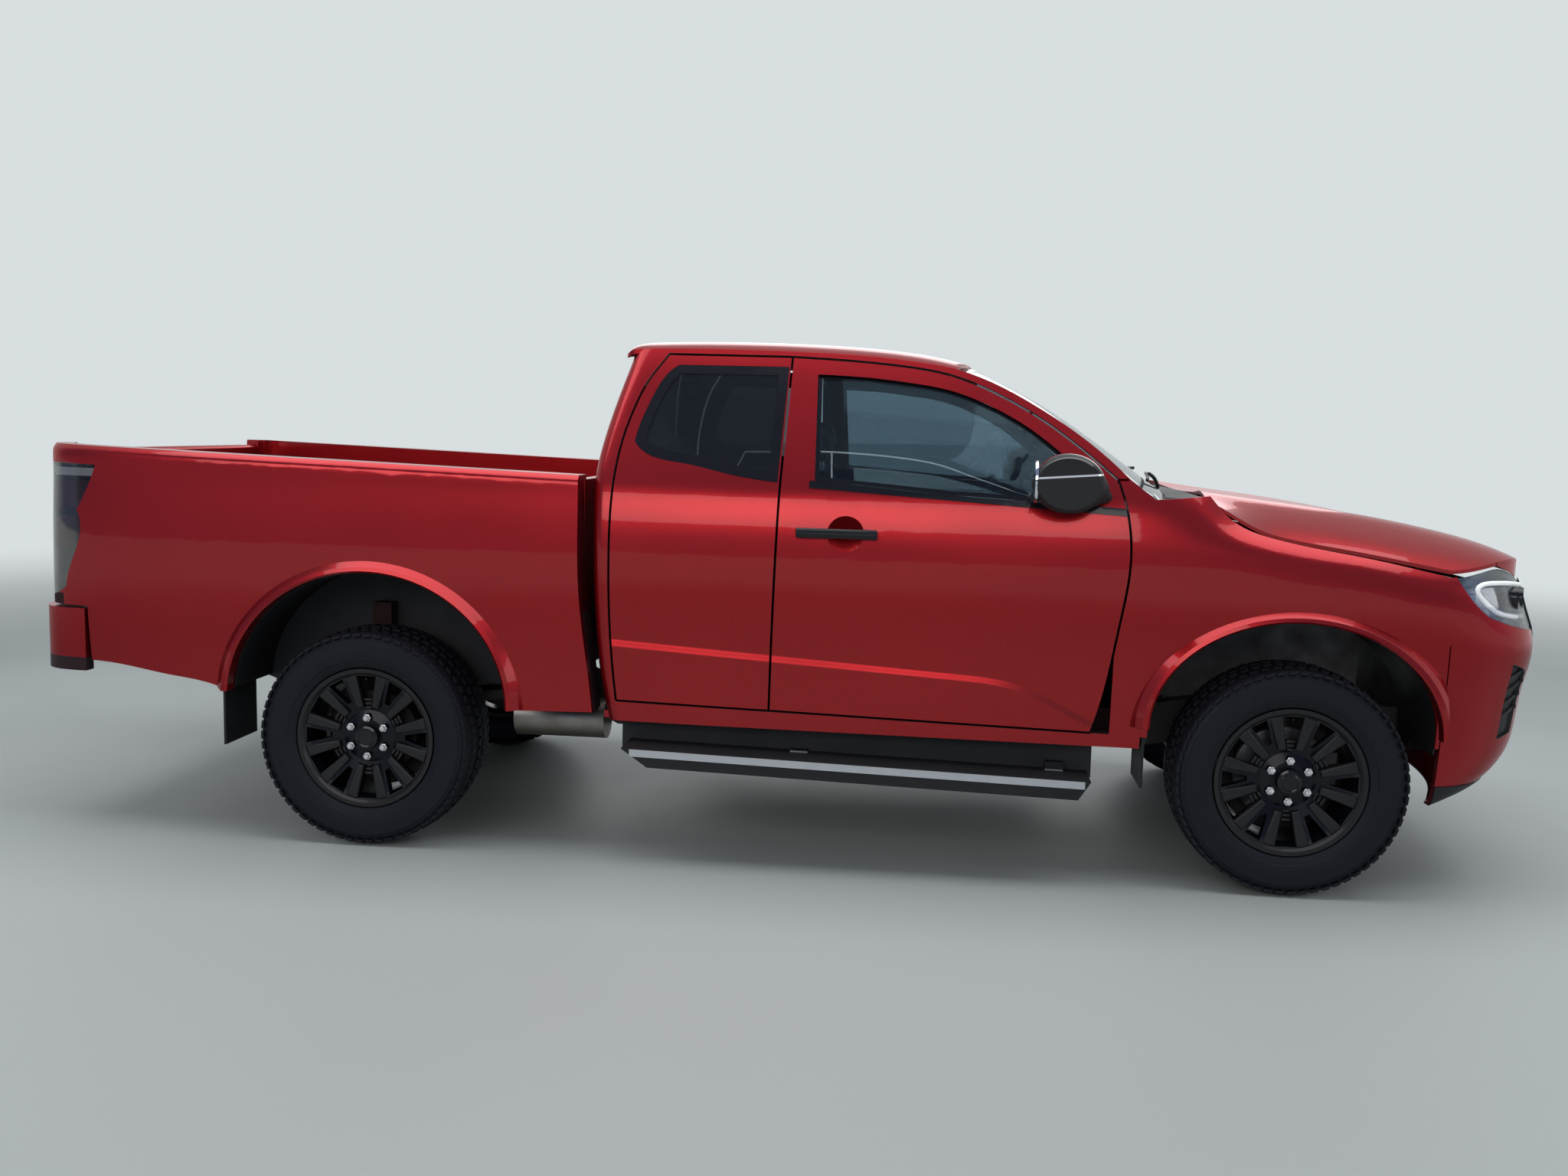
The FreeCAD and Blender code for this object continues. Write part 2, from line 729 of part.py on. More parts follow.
BONNET_WALL = 12
bonnet = slab(bonnet_poles(0), bonnet_poles(BONNET_WALL)).common(
    plan_cutter(bonnet_runs, 800, 1500)
)
feature("bonnet", bonnet)


def bonnet_clearance():
    """The space that the bonnet and the gap round it take, seen from above."""
    flat = plan_cutter(bonnet_runs, 700, 701)
    base = [face for face in flat.Faces if abs(face.CenterOfMass.z - 700) < 0.01][0]
    return grown(base, size("bonnet_gap")).extrude(Vector(0, 0, 900))


above_bonnet = bonnet_clearance()

FENDER_SEAM = [(2206, 846), (2250, 880), (2333, 938)]
fender_outline = outline([
    [(1092, 505), (1260, 503)],
    [(1260, 503), (2206, 503)],
    [(2206, 503), (2206, 846)],
    FENDER_SEAM,
    [(2333, 938), (2257, 1010), (2216, 1082)],
    [(2216, 1082), (2216, 1400)],
    [(2216, 1400), (1092, 1400)],
])


def build_fender():
    shape = nose_slab(0, size("sheet_wall")).common(side_cutter(fender_outline, -OUTSIDE, 0))
    shape = shape.fuse(
        flare(FRONT_ARCH, 872).common(side_cutter(fender_outline, -OUTSIDE, 0))
    )
    shape = shape.cut(arch_block(FRONT_ARCH, -OUTSIDE, -400))
    shape = shape.cut(above_bonnet)
    shape = shape.cut(side_cutter(front_door_outline, -OUTSIDE, 0, gap))
    pillar = side_cutter(outline([
        [(1000, PILLAR_SEAM), (1190, PILLAR_SEAM)],
        [(1190, PILLAR_SEAM), PILLAR_FOOT],
        [PILLAR_FOOT, (1440, 1300)],
        [(1440, 1300), (1440, 1600)],
        [(1440, 1600), (1000, 1600)],
    ]), -OUTSIDE, 0)
    shape = shape.cut(pillar)
    return sorted(shape.Solids, key=lambda solid: solid.Volume)[-1]


fender = build_fender()
feature("fender_right", fender)
feature("fender_left", mirrored(fender))

LAMP_EDGE = [(2216, 1082), (2257, 1010), (2333, 938)]
LAMP_SEAM = [(2333, 938), (2440, 903), (2800, 866)]
HEADLAMP_INNER = 582.0 + near
headlamp_outline = outline([
    LAMP_EDGE,
    LAMP_SEAM,
    [(2800, 866), (2800, 1200)],
    [(2800, 1200), (2216, 1200)],
    [(2216, 1200), (2216, 1082)],
])
lamp_cutter = side_cutter(headlamp_outline, -OUTSIDE, 0, -near)
lamp_cutter = lamp_cutter.common(box((2000, 3000), (-OUTSIDE, -HEADLAMP_INNER), (0, 2000)))
headlamp = nose_slab(3, 120).common(lamp_cutter).cut(above_bonnet)
headlamp = sorted(headlamp.Solids, key=lambda solid: solid.Volume)[-1]
feature("headlamps", both(headlamp))

# Grille: a frame with bars, between the headlamps and down into the bumper

GRILLE_OUTLINE = [(-582, 1100), (-582, 884), (-500, 800), (-440, 690), (440, 690), (500, 800),
                  (582, 884), (582, 1100)]
GRILLE_FRAME = 46
GRILLE_BARS = 7


def grille_shape():
    opening = Part.Face(
        Part.makePolygon(
            [Vector(0, y, z) for y, z in GRILLE_OUTLINE + GRILLE_OUTLINE[:1]]
        )
    )
    hole = grown(opening, -GRILLE_FRAME)
    block = opening.extrude(Vector(3000, 0, 0))
    hole = hole.extrude(Vector(3000, 0, 0))
    frame = nose_slab(-4, 60).common(block).cut(hole)
    step = (1060 - 720) / (GRILLE_BARS + 1)
    for index in range(1, GRILLE_BARS + 1):
        level = 720 + index * step
        bar = box((2000, 3000), (-600, 600), (level - 7, level + 7))
        frame = frame.fuse(nose_slab(14, 40).common(bar).common(block))
    for y in range(-450, 451, 150):
        post = box((2000, 3000), (y - 6, y + 6), (700, 1095))
        frame = frame.fuse(nose_slab(24, 44).common(post).common(block))
    return frame.cut(above_bonnet)


grille = grille_shape()
grille = sorted(grille.Solids, key=lambda solid: solid.Volume)[-1]
feature("grille", grille)

# Front bumper

BUMPER_WALL = 26
VENT_OUTLINE = [(-784, 782), (-700, 752), (-690, 540), (-762, 528)]
VENT_DEPTH = 12
LOW_INTAKE = [(-470, 640), (-520, 560), (-470, 500), (470, 500), (520, 560), (470, 640)]

def build_bumper():
    below = outline([
        [(2060, 300), (2060, 846)],
        [(2060, 846), (2206, 846)],
        FENDER_SEAM,
        LAMP_SEAM,
        [(2800, 866), (2800, 300)],
    ])
    shape = nose_slab(0, BUMPER_WALL).common(side_cutter(below, -OUTSIDE, OUTSIDE))
    lip = box((1900, 2210), (-OUTSIDE, OUTSIDE), (0, 2000))
    shape = shape.cut(lip)
    grille_gap = grown(Part.Face(
        Part.makePolygon([Vector(1900, y, z) for y, z in GRILLE_OUTLINE + GRILLE_OUTLINE[:1]])
    ), near).extrude(Vector(1200, 0, 0))
    shape = shape.cut(grille_gap)
    shape = shape.cut(front_cutter(LOW_INTAKE, 1900, 3000))
    vent = nose_slab(-6, VENT_DEPTH).common(front_cutter(VENT_OUTLINE, 2250, 2800))
    shape = shape.cut(vent).cut(mirrored(vent))
    return sorted(shape.Solids, key=lambda solid: solid.Volume)[-1]


feature("front_bumper", build_bumper())

# Cowl between the windscreen and the bonnet

cowl = plan_cutter([
    [(1264, -790), (1318, -600), (1358, -300), (1370, 0), (1358, 300), (1318, 600), (1264, 790)],
    [(1264, 790), (BONNET_REAR - gap, 800)],
    [(BONNET_REAR - gap, 800), (BONNET_REAR + 22 - gap, 400), (BONNET_REAR + 30 - gap, 0),
     (BONNET_REAR + 22 - gap, -400), (BONNET_REAR - gap, -800)],
    [(BONNET_REAR - gap, -800), (1264, -790)],
], COWL_FLOOR + near, SCREEN_CENTRE[-1][1] - size("glass_wall") - near)
cowl = clear_of_screen(cowl)
feature("cowl", sorted(cowl.Solids, key=lambda solid: solid.Volume)[-1])

# Load bed

BED_SECTION = [(480, 884), (560, 892), (700, 902), (850, 906), (1000, 904), (1150, 897),
               (1260, 888)]
BED_PLAN = [
    (-560, 0), (-700, 0), (-900, 0), (-1100, 0), (-1300, 0), (-1500, 0), (-1700, 0), (-1900, 0),
    (-2100, 2), (-2280, 6), (-2420, 14), (-2510, 34), (-2566, 72), (-2592, 124), (-2600, 180),
    (-2602, 240),
]
BED_INNER_PLAN = [(x, 0) for x, inset in BED_PLAN[:11]] + [
    (-2480, 0), (-2516, 12), (-2536, 34), (-2546, 60), (-2548, 92)
]
BED_LEVELS = [0, 0.1, 0.22, 0.36, 0.5, 0.64, 0.76, 0.86, 0.93, 0.965, 0.985, 1.0]
BED_BOTTOM = 480.0
RAIL_SLOPE = 0.0315
RAIL_HEIGHT_AT_AXLE = 1336.0


def rail_top(x):
    return RAIL_HEIGHT_AT_AXLE - RAIL_SLOPE * (x - rear_axle)


def bed_side():
    outer, inner = [], []
    inside = size("bed_width") / 2
    for (x, inset), (ix, inner_inset) in zip(BED_PLAN, BED_INNER_PLAN):
        outer_row, inner_row = [], []
        for level in BED_LEVELS:
            z = BED_BOTTOM + level * (rail_top(x) - BED_BOTTOM)
            half = along(BED_SECTION, z) - inset - corner_inset((1 - level) * 850, 24)
            outer_row.append(Vector(x, -half, z))
            inner_row.append(Vector(ix, -(inside - inner_inset), z))
        outer.append(outer_row)
        inner.append(inner_row)
    return slab(outer, inner)


bed_side_outline = outline([
    [(-650, 1400), (-643, 1264), (-641, 1109), (-633, 902), (-608, 693), (-588, 506)],
    [(-588, 506), (-900, 500)],
    [(-900, 500), (-1900, 530)],
    [(-1900, 530), (-1967, 552), (-2108, 574), (-2260, 600), (-2396, 612)],
    [(-2396, 612), (-2402, 806)],
    [(-2402, 806), (-2700, 806)],
    [(-2700, 806), (-2700, 1400)],
])
TAIL_LAMP_INNER = 690.0
tail_lamp_outline = outline([
    [(-2366, 1302), (-2403, 1211), (-2440, 1143)],
    [(-2440, 1143), (-2424, 1076), (-2447, 994), (-2489, 870)],
    [(-2489, 870), (-2520, 852), (-2700, 846)],
    [(-2700, 846), (-2700, 1312)],
    [(-2700, 1312), (-2366, 1302)],
])
WHEELHOUSE_INNER = 570.0
GATE_HINGE_X = -2590.0
GATE_HINGE_Z = 850.0
GATE_DROP = 12.0
HINGE_START = 540.0
HINGE_END = 620.0
BRACKET_COUNT = 5
BRACKET_START = -900
BRACKET_STEP = 330
BRACKET_FOOT = 1206
BRACKET_HEAD = 1262
BRACKET_REACH = 24
CROSS_SILLS = (-1040, -1460, -1960, -2522)
frame_top = size("rail_bottom") + size("axle_kick_up") + size("rail_height")


def build_bed():
    side = bed_side().common(side_cutter(bed_side_outline, -OUTSIDE, 0))
    side = side.cut(side_cutter(tail_lamp_outline, -OUTSIDE, 0))
    side = side.common(box((-3000, 0), (-OUTSIDE, -TAIL_LAMP_INNER), (0, 2000)))
    lip = flare(REAR_ARCH, 876).common(side_cutter(bed_side_outline, -OUTSIDE, 0))
    side = side.fuse(lip)
    wall = size("wheelhouse_wall")
    tub = arch_block(REAR_ARCH, -880, -WHEELHOUSE_INNER, wall + 6)
    above = box((-2100, -700), (-880, -400), (size("bed_floor_top") - 20, 1300))
    tub = tub.common(above)
    side = side.fuse(tub).cut(arch_block(REAR_ARCH, -OUTSIDE, -WHEELHOUSE_INNER - wall))
    front, back = -641.0, -2548.0
    inside = size("bed_width") / 2
    top = size("bed_floor_top")
    floor = box((back, front - 2), (-inside - 6, inside + 6), (top - size("bed_floor_wall"), top))
    corner = box((back - 10, -2470), (TAIL_LAMP_INNER - near, 900), (700, top + 20))
    floor = floor.cut(corner).cut(mirrored(corner))
    for lane in range(-6, 7):
        rib = box((back + 60, front - 60), (lane * 84 - 22, lane * 84 + 22), (top, top + 9))
        floor = floor.fuse(rib)
    floor = floor.cut(arch_block(REAR_ARCH, -OUTSIDE, -WHEELHOUSE_INNER - wall))
    floor = floor.cut(arch_block(REAR_ARCH, WHEELHOUSE_INNER + wall, OUTSIDE))
    head = box(
        (front - size("headboard_wall"), front), (-inside - 30, inside + 30), (700, 1296)
    )
    bed = side.fuse(mirrored(side)).fuse(floor).fuse(head)
    cross = size("cross_sill_width")
    underside = top - size("bed_floor_wall")
    for x in CROSS_SILLS:
        sill = box((x, x + cross), (-inside + 120, inside - 120), (frame_top + near, underside))
        bed = bed.fuse(sill)
    for y in (-HINGE_END, HINGE_START):
        barrel = Part.makeCylinder(GATE_DROP - near, HINGE_END - HINGE_START,
                                   Vector(GATE_HINGE_X, y, GATE_HINGE_Z), Vector(0, 1, 0))
        tongue = box((GATE_HINGE_X, back + 4), (y, y + HINGE_END - HINGE_START),
                     (GATE_HINGE_Z - 11, GATE_HINGE_Z))
        bed = bed.fuse(barrel).fuse(tongue)
    for station in range(BRACKET_COUNT):
        x = BRACKET_START - BRACKET_STEP * station
        bracket = side_cutter(outline([
            [(x - 42, BRACKET_FOOT), (x + 42, BRACKET_FOOT)],
            [(x + 42, BRACKET_FOOT), (x + 66, BRACKET_HEAD)],
            [(x + 66, BRACKET_HEAD), (x - 66, BRACKET_HEAD)],
            [(x - 66, BRACKET_HEAD), (x - 42, BRACKET_FOOT)],
        ]), -inside - 5, -inside + BRACKET_REACH)
        bed = bed.fuse(bracket).fuse(mirrored(bracket))
    return bed.removeSplitter()


feature("load_bed", build_bed())
tail_lamp = bed_side().common(side_cutter(tail_lamp_outline, -OUTSIDE, 0, -near))
tail_lamp = tail_lamp.common(box((-2800, -2300), (-OUTSIDE, -TAIL_LAMP_INNER), (0, 2000)))
feature("tail_lamps", both(tail_lamp))

# Tailgate: hinged along its lower edge

TAILGATE_HALF = TAIL_LAMP_INNER - gap
TAILGATE_BACK = -2604.0
TAILGATE_FRONT = -2554.0
TAILGATE_BOTTOM = GATE_HINGE_Z + GATE_DROP
TAILGATE_TOP = 1352.0
tailgate = box(
    (TAILGATE_BACK, TAILGATE_FRONT), (-TAILGATE_HALF, TAILGATE_HALF),
    (TAILGATE_BOTTOM, TAILGATE_TOP),
)
upper_edges = [
    edge for edge in tailgate.Edges
    if edge.BoundBox.YLength > 100 and abs(edge.CenterOfMass.z - TAILGATE_TOP) < 1
]
tailgate = tailgate.makeFillet(14, upper_edges)
recess = box((TAILGATE_BACK - 5, TAILGATE_BACK + 22), (-110, 110), (1180, 1262))
handle = box((TAILGATE_BACK + 3, TAILGATE_BACK + 24), (-96, 96), (1228, 1256))
PANEL_OUTLINE = [(-560, 1105), (-500, 925), (500, 925), (560, 1105)]
PANEL_DEPTH = 7
panel = front_cutter(PANEL_OUTLINE, TAILGATE_BACK - 5, TAILGATE_BACK + PANEL_DEPTH)
feature("tailgate", tailgate.cut(recess).cut(panel).fuse(handle))

# Rear bumper with its step

BUMPER_BACK = -2530.0
bumper_plan = [
    [(-2410, -896), (-2480, -888), (-2540, -868), (-2588, -828), (-2616, -770), (-2628, -700)],
    [(-2628, -700), (tail, -560)],
    [(tail, -560), (tail, 560)],
    [(tail, 560), (-2628, 700)],
    [(-2628, 700), (-2616, 770), (-2588, 828), (-2540, 868), (-2480, 888), (-2410, 896)],
    [(-2410, 896), (-2410, 850)],
    [(-2410, 850), (BUMPER_BACK, 760)],
    [(BUMPER_BACK, 760), (BUMPER_BACK, -760)],
    [(BUMPER_BACK, -760), (-2410, -850)],
    [(-2410, -850), (-2410, -896)],
]
rear_bumper = plan_cutter(bumper_plan, 575, 797)
step_well = box((-2700, -2540), (-420, 420), (740, 900))
feature("rear_bumper", rear_bumper.cut(step_well))

# Chassis


def bound_box(label, lengths, place):
    """A plain block whose lengths follow cells of the sheet."""
    block = doc.addObject("Part::Box", label)
    for side_name, expression in zip(("Length", "Width", "Height"), lengths):
        block.setExpression(side_name, expression)
    block.Placement = FreeCAD.Placement(Vector(*place), FreeCAD.Rotation())
    return block


RAIL_LINE = [
    (2300, 40), (1500, 40), (1260, 0), (-600, 0), (-980, size("axle_kick_up")),
    (BUMPER_BACK + near, size("axle_kick_up")),
]
OUTRIGGERS = (980, 120, -440)
OUTRIGGER_HALF = 40
BODY_MOUNT_RADIUS = 34
TOW_BEAM_X = -2440
# Middle, height above the rail's bottom, width and height of each cross beam
FRONT_BEAM = (2240, 50, 90, 70)
CROSS_BEAMS = [
    (1360, 25, 110, 20), (760, 0, 90, 30), (-200, 0, 90, 30),
    (-860, 140, 80, 70), (-1960, 215, 90, 70), (TOW_BEAM_X, 200, 90, 90),
]
RADIATOR_X = 2225
RADIATOR_DEPTH = 30
RADIATOR_HALF = 500
RADIATOR_TOP = 1050
BUFFER_Y = 380
BUFFER_RADIUS = 14
OUTRIGGER_END = 700.0
ENGINE_MOUNT_X = (1700, 1780)
ENGINE_MOUNT_Z = (470, 552)


def rail_shape(sign):
    bottom = size("rail_bottom")
    tall = size("rail_height")
    lower = [Vector(x, 0, bottom + lift) for x, lift in RAIL_LINE]
    upper = [Vector(x, 0, bottom + lift + tall) for x, lift in reversed(RAIL_LINE)]
    face = Part.Face(Part.makePolygon(lower + upper + lower[:1]))
    half = size("rail_width") / 2
    rail = face.extrude(Vector(0, 2 * half, 0))
    rail.translate(Vector(0, sign * size("rail_centre") - half, 0))
    return rail


def bumper_horn():
    """A short tube from the rail's end to the inside of the front bumper."""
    half = size("rail_width") / 2 - 8
    centre = size("rail_centre")
    horn = box((2290, 2700), (-centre - half, -centre + half), (420, 490))
    horn = horn.cut(nose_slab(-60, BUMPER_WALL + near))
    return sorted(horn.Solids, key=lambda solid: solid.BoundBox.XMin)[0]


def cross_beam(place, half_length):
    x, lift, wide, tall = place
    low = size("rail_bottom") + lift
    return box((x - wide / 2, x + wide / 2), (-half_length, half_length), (low, low + tall))


def build_frame():
    centre = size("rail_centre")
    low = size("rail_bottom")
    frame = rail_shape(-1).fuse(rail_shape(1)).fuse(cross_beam(FRONT_BEAM, centre))
    floor_bottom = size("floor_top") - size("floor_wall")
    for x in OUTRIGGERS:
        outrigger = box((x - OUTRIGGER_HALF, x + OUTRIGGER_HALF), (-OUTRIGGER_END, -centre),
                        (low + 10, low + 26))
        post = Part.makeCylinder(BODY_MOUNT_RADIUS, floor_bottom - near - low - 20,
                                 Vector(x, -centre - 110, low + 20))
        outrigger = outrigger.fuse(post)
        frame = frame.fuse(outrigger).fuse(mirrored(outrigger))
    panel = box((RADIATOR_X, RADIATOR_X + RADIATOR_DEPTH), (-RADIATOR_HALF, RADIATOR_HALF),
                (low + 60, RADIATOR_TOP))
    frame = frame.fuse(panel)
    under_bonnet = slab(bonnet_poles(-200), bonnet_poles(BONNET_WALL + near))
    at = Vector(RADIATOR_X + RADIATOR_DEPTH / 2, -BUFFER_Y, RADIATOR_TOP - 10)
    buffer = Part.makeCylinder(BUFFER_RADIUS, 260, at).cut(under_bonnet)
    buffer = sorted(buffer.Solids, key=lambda solid: solid.BoundBox.ZMin)[0]
    frame = frame.fuse(buffer).fuse(mirrored(buffer))
    horn = bumper_horn()
    return frame.fuse(horn).fuse(mirrored(horn)).removeSplitter()


def build_cross_beams():
    """The beams between the rails and the engine's two mounts, each seated against the rails."""
    inner = size("rail_centre") - size("rail_width") / 2 - near
    beams = [cross_beam(place, inner) for place in CROSS_BEAMS]
    for x in (-1, 1):
        for y in (-1, 1):
            at = Vector(TOW_BEAM_X + x * size("tow_bolt_long") / 2, y * size("tow_bolt_wide") / 2,
                        size("rail_bottom"))
            beams[-1] = beams[-1].cut(Part.makeCylinder(size("tow_bolt_radius"), 400, at))
    mount = box(ENGINE_MOUNT_X, (-inner, -size("engine_width") / 2 - near), ENGINE_MOUNT_Z)
    return Part.makeCompound(beams + [mount, mirrored(mount)])


feature("ladder_frame", build_frame())
feature("frame_cross_beams", build_cross_beams())

ENGINE_BACK = 1400
GEARBOX_BOTTOM = 484
TANK_BACK = 180
engine = bound_box(
    "engine_main",
    ("Sizes.engine_length", "Sizes.engine_width", "Sizes.engine_height"),
    (ENGINE_BACK, -size("engine_width") / 2, size("engine_bottom")),
)
gearbox = bound_box(
    "gearbox",
    ("Sizes.gearbox_length", "Sizes.gearbox_width", "Sizes.gearbox_height"),
    (ENGINE_BACK - size("gearbox_length"), -size("gearbox_width") / 2, GEARBOX_BOTTOM),
)
power = doc.addObject("Part::Fuse", "engine_block")
power.Base = engine
power.Tool = gearbox
keep(power, "engine_block")
tank = bound_box(
    "tank_block",
    ("Sizes.tank_length", "Sizes.tank_width", "Sizes.tank_height"),
    (TANK_BACK, size("rail_centre") + size("rail_width") / 2 + near, size("tank_bottom")),
)
tank_round = doc.addObject("Part::Fillet", "fuel_tank")
tank_round.Base = tank
doc.recompute()
tank_round.Edges = [
    (index + 1, 30.0, 30.0) for index, edge in enumerate(tank.Shape.Edges)
    if edge.BoundBox.XLength > 100
]
keep(tank_round, "fuel_tank")

PIPE_RADIUS = 28
PIPE_Y = -250
PIPE_Z = 445
PIPE_FRONT = 1450
PIPE_BACK = -840
SILENCER_Y = -590

pipe = Part.makeCylinder(PIPE_RADIUS, PIPE_FRONT - PIPE_BACK,
                         Vector(PIPE_FRONT, PIPE_Y, PIPE_Z), Vector(-1, 0, 0))
down_pipe = Part.makeCylinder(PIPE_RADIUS, size("engine_bottom") - near - PIPE_Z,
                              Vector(PIPE_FRONT, PIPE_Y, PIPE_Z))
link = Part.makeCylinder(PIPE_RADIUS, PIPE_Y - SILENCER_Y, Vector(PIPE_BACK, PIPE_Y, PIPE_Z),
                         Vector(0, -1, 0))
silencer = Part.makeCylinder(72, 330, Vector(-930, SILENCER_Y, 425), Vector(1, 0, 0))
exhaust = pipe.fuse(down_pipe).fuse(link).fuse(silencer)
feature("exhaust", exhaust.removeSplitter())


def build_rear_axle():
    """Tube, differential and driveshaft; the ends reach the backs of the wheels."""
    radius = size("axle_radius")
    end = wheel_plane + SPOKE_BACK - near
    tube = Part.makeCylinder(radius, 2 * end, Vector(rear_axle, -end, hub_height), Vector(0, 1, 0))
    pot = Part.makeSphere(135)
    pot.translate(Vector(rear_axle, -60, hub_height))
    shaft = Part.makeCylinder(32, 2050, Vector(rear_axle + 110, -60, hub_height + 10),
                              Vector(1, 0, 0.05))
    brake_start = wheel_plane - 50
    axle = tube.fuse(pot).fuse(shaft)
    for sign in (-1, 1):
        drum = Part.makeCylinder(150, 60, Vector(rear_axle, sign * brake_start, hub_height),
                                 Vector(0, sign, 0))
        axle = axle.fuse(drum)
    return axle


SPRING_GAP = 4
SPRING_EYE = 30
SPRING_LINE = [(-2050, 560), (-1800, 470), (rear_axle, 430), (-1000, 465), (-790, 520)]


def build_springs():
    """One leaf spring, its eyes seated against the outside of the rail."""
    rail_side = -size("rail_centre") - size("rail_width") / 2
    spring_y = rail_side - SPRING_GAP - size("spring_width")
    depth = size("spring_depth")
    upper = [Vector(x, spring_y, z + depth) for x, z in SPRING_LINE]
    lower = [Vector(x, spring_y, z) for x, z in SPRING_LINE]
    wire = Part.Wire([
        curve_edge(lower), curve_edge([lower[-1], upper[-1]]), curve_edge(upper[::-1]),
        curve_edge([upper[0], lower[0]]),
    ])
    leaf = Part.Face(wire).extrude(Vector(0, size("spring_width"), 0))
    for x, z in (SPRING_LINE[0], SPRING_LINE[-1]):
        eye = Part.makeCylinder(SPRING_EYE, rail_side - near - spring_y,
                                Vector(x, spring_y, z + 20), Vector(0, 1, 0))
        leaf = leaf.fuse(eye)
    seat = box((rear_axle - 70, rear_axle + 70), (spring_y, spring_y + size("spring_width")),
               (hub_height + 10, 440))
    return leaf.fuse(seat).removeSplitter()


HUB_BACK = 84
SPOKE_BACK = size("rim_depth") / 2 - HUB_BACK
springs = build_springs()
axle = build_rear_axle().fuse(springs).fuse(mirrored(springs)).removeSplitter()
feature("rear_axle", axle)

# Front suspension: two arms and a strut each side, under the rails

kingpin = wheel_plane - size("kingpin_offset")
PIN_RADIUS = 30
ARM_END = kingpin - PIN_RADIUS - near


def arm(half_long, z_from, z_to, inner_y):
    return plan_cutter([
        [(front_axle - half_long, -inner_y), (front_axle - 22, -ARM_END)],
        [(front_axle - 22, -ARM_END), (front_axle + 22, -ARM_END)],
        [(front_axle + 22, -ARM_END), (front_axle + half_long, -inner_y)],
        [(front_axle + half_long, -inner_y), (front_axle - half_long, -inner_y)],
    ], z_from, z_to)


rail_side = size("rail_centre") + size("rail_width") / 2
rail_under = size("rail_bottom") + RAIL_LINE[0][1] - near
suspension = arm(190, 262, 296, 352).fuse(arm(90, 530, 556, rail_side + near))
for x in (-185, 185):
    hanger = box((front_axle + x - 35, front_axle + x + 35), (-412, -352), (250, rail_under))
    suspension = suspension.fuse(hanger)
strut = Part.makeCylinder(46, 330, Vector(front_axle, -516, 290))
suspension = suspension.fuse(strut)
low_beam = box((front_axle - 220, front_axle + 220), (-356, 356), (250, 320))
suspension = suspension.fuse(mirrored(suspension)).fuse(low_beam)
feature("front_suspension", suspension.removeSplitter())

# Steering knuckles

hub_end = wheel_plane + SPOKE_BACK - near
knuckle = Part.makeCylinder(PIN_RADIUS, 330, Vector(front_axle, -kingpin, 250))
hub = Part.makeCylinder(58, hub_end - kingpin - 12, Vector(front_axle, -kingpin - 12, hub_height),
                        Vector(0, -1, 0))
disc = Part.makeCylinder(156, 24, Vector(front_axle, -kingpin - 26, hub_height),
                         Vector(0, -1, 0))
caliper = box((front_axle + 60, front_axle + 172), (-kingpin - 66, -kingpin - 6), (330, 462))
knuckle = knuckle.fuse(hub).fuse(disc).fuse(caliper).removeSplitter()
feature("knuckle_right", knuckle)
feature("knuckle_left", mirrored(knuckle))

# Wheels


def revolved_body(label, points, plane_name, at):
    """A body turned round its own Y axis from a closed profile of (radius, width) points."""
    body = doc.addObject("PartDesign::Body", label)
    sketch = body.newObject("Sketcher::SketchObject", label + "_profile")
    for plane in body.Origin.OriginFeatures:
        if plane.Role == plane_name:
            sketch.AttachmentSupport = [(plane, "")]
    sketch.MapMode = "FlatFace"
    for a, b in zip(points, points[1:] + points[:1]):
        sketch.addGeometry(Part.LineSegment(Vector(a[0], a[1], 0), Vector(b[0], b[1], 0)))
    turn = body.newObject("PartDesign::Revolution", label + "_turn")
    turn.Profile = sketch
    turn.ReferenceAxis = (sketch, ["V_Axis"])
    turn.Angle = 360
    body.Placement = FreeCAD.Placement(Vector(*at), FreeCAD.Rotation())
    return body


def tyre_profile():
    outer, half = size("tyre_radius"), size("tyre_width") / 2
    inner = size("rim_radius") + near
    right = [(inner, half - 27), (inner + 22, half - 8), (inner + 66, half), (outer - 34, half - 6),
             (outer - 8, half - 26), (outer, half - 44)]
    return right + [(r, -w) for r, w in reversed(right)]


SPOKE_WINDOWS = ((15, 35, 102, 0.5), (9, 28, 132, 0.0))
WINDOW_EDGE = 27


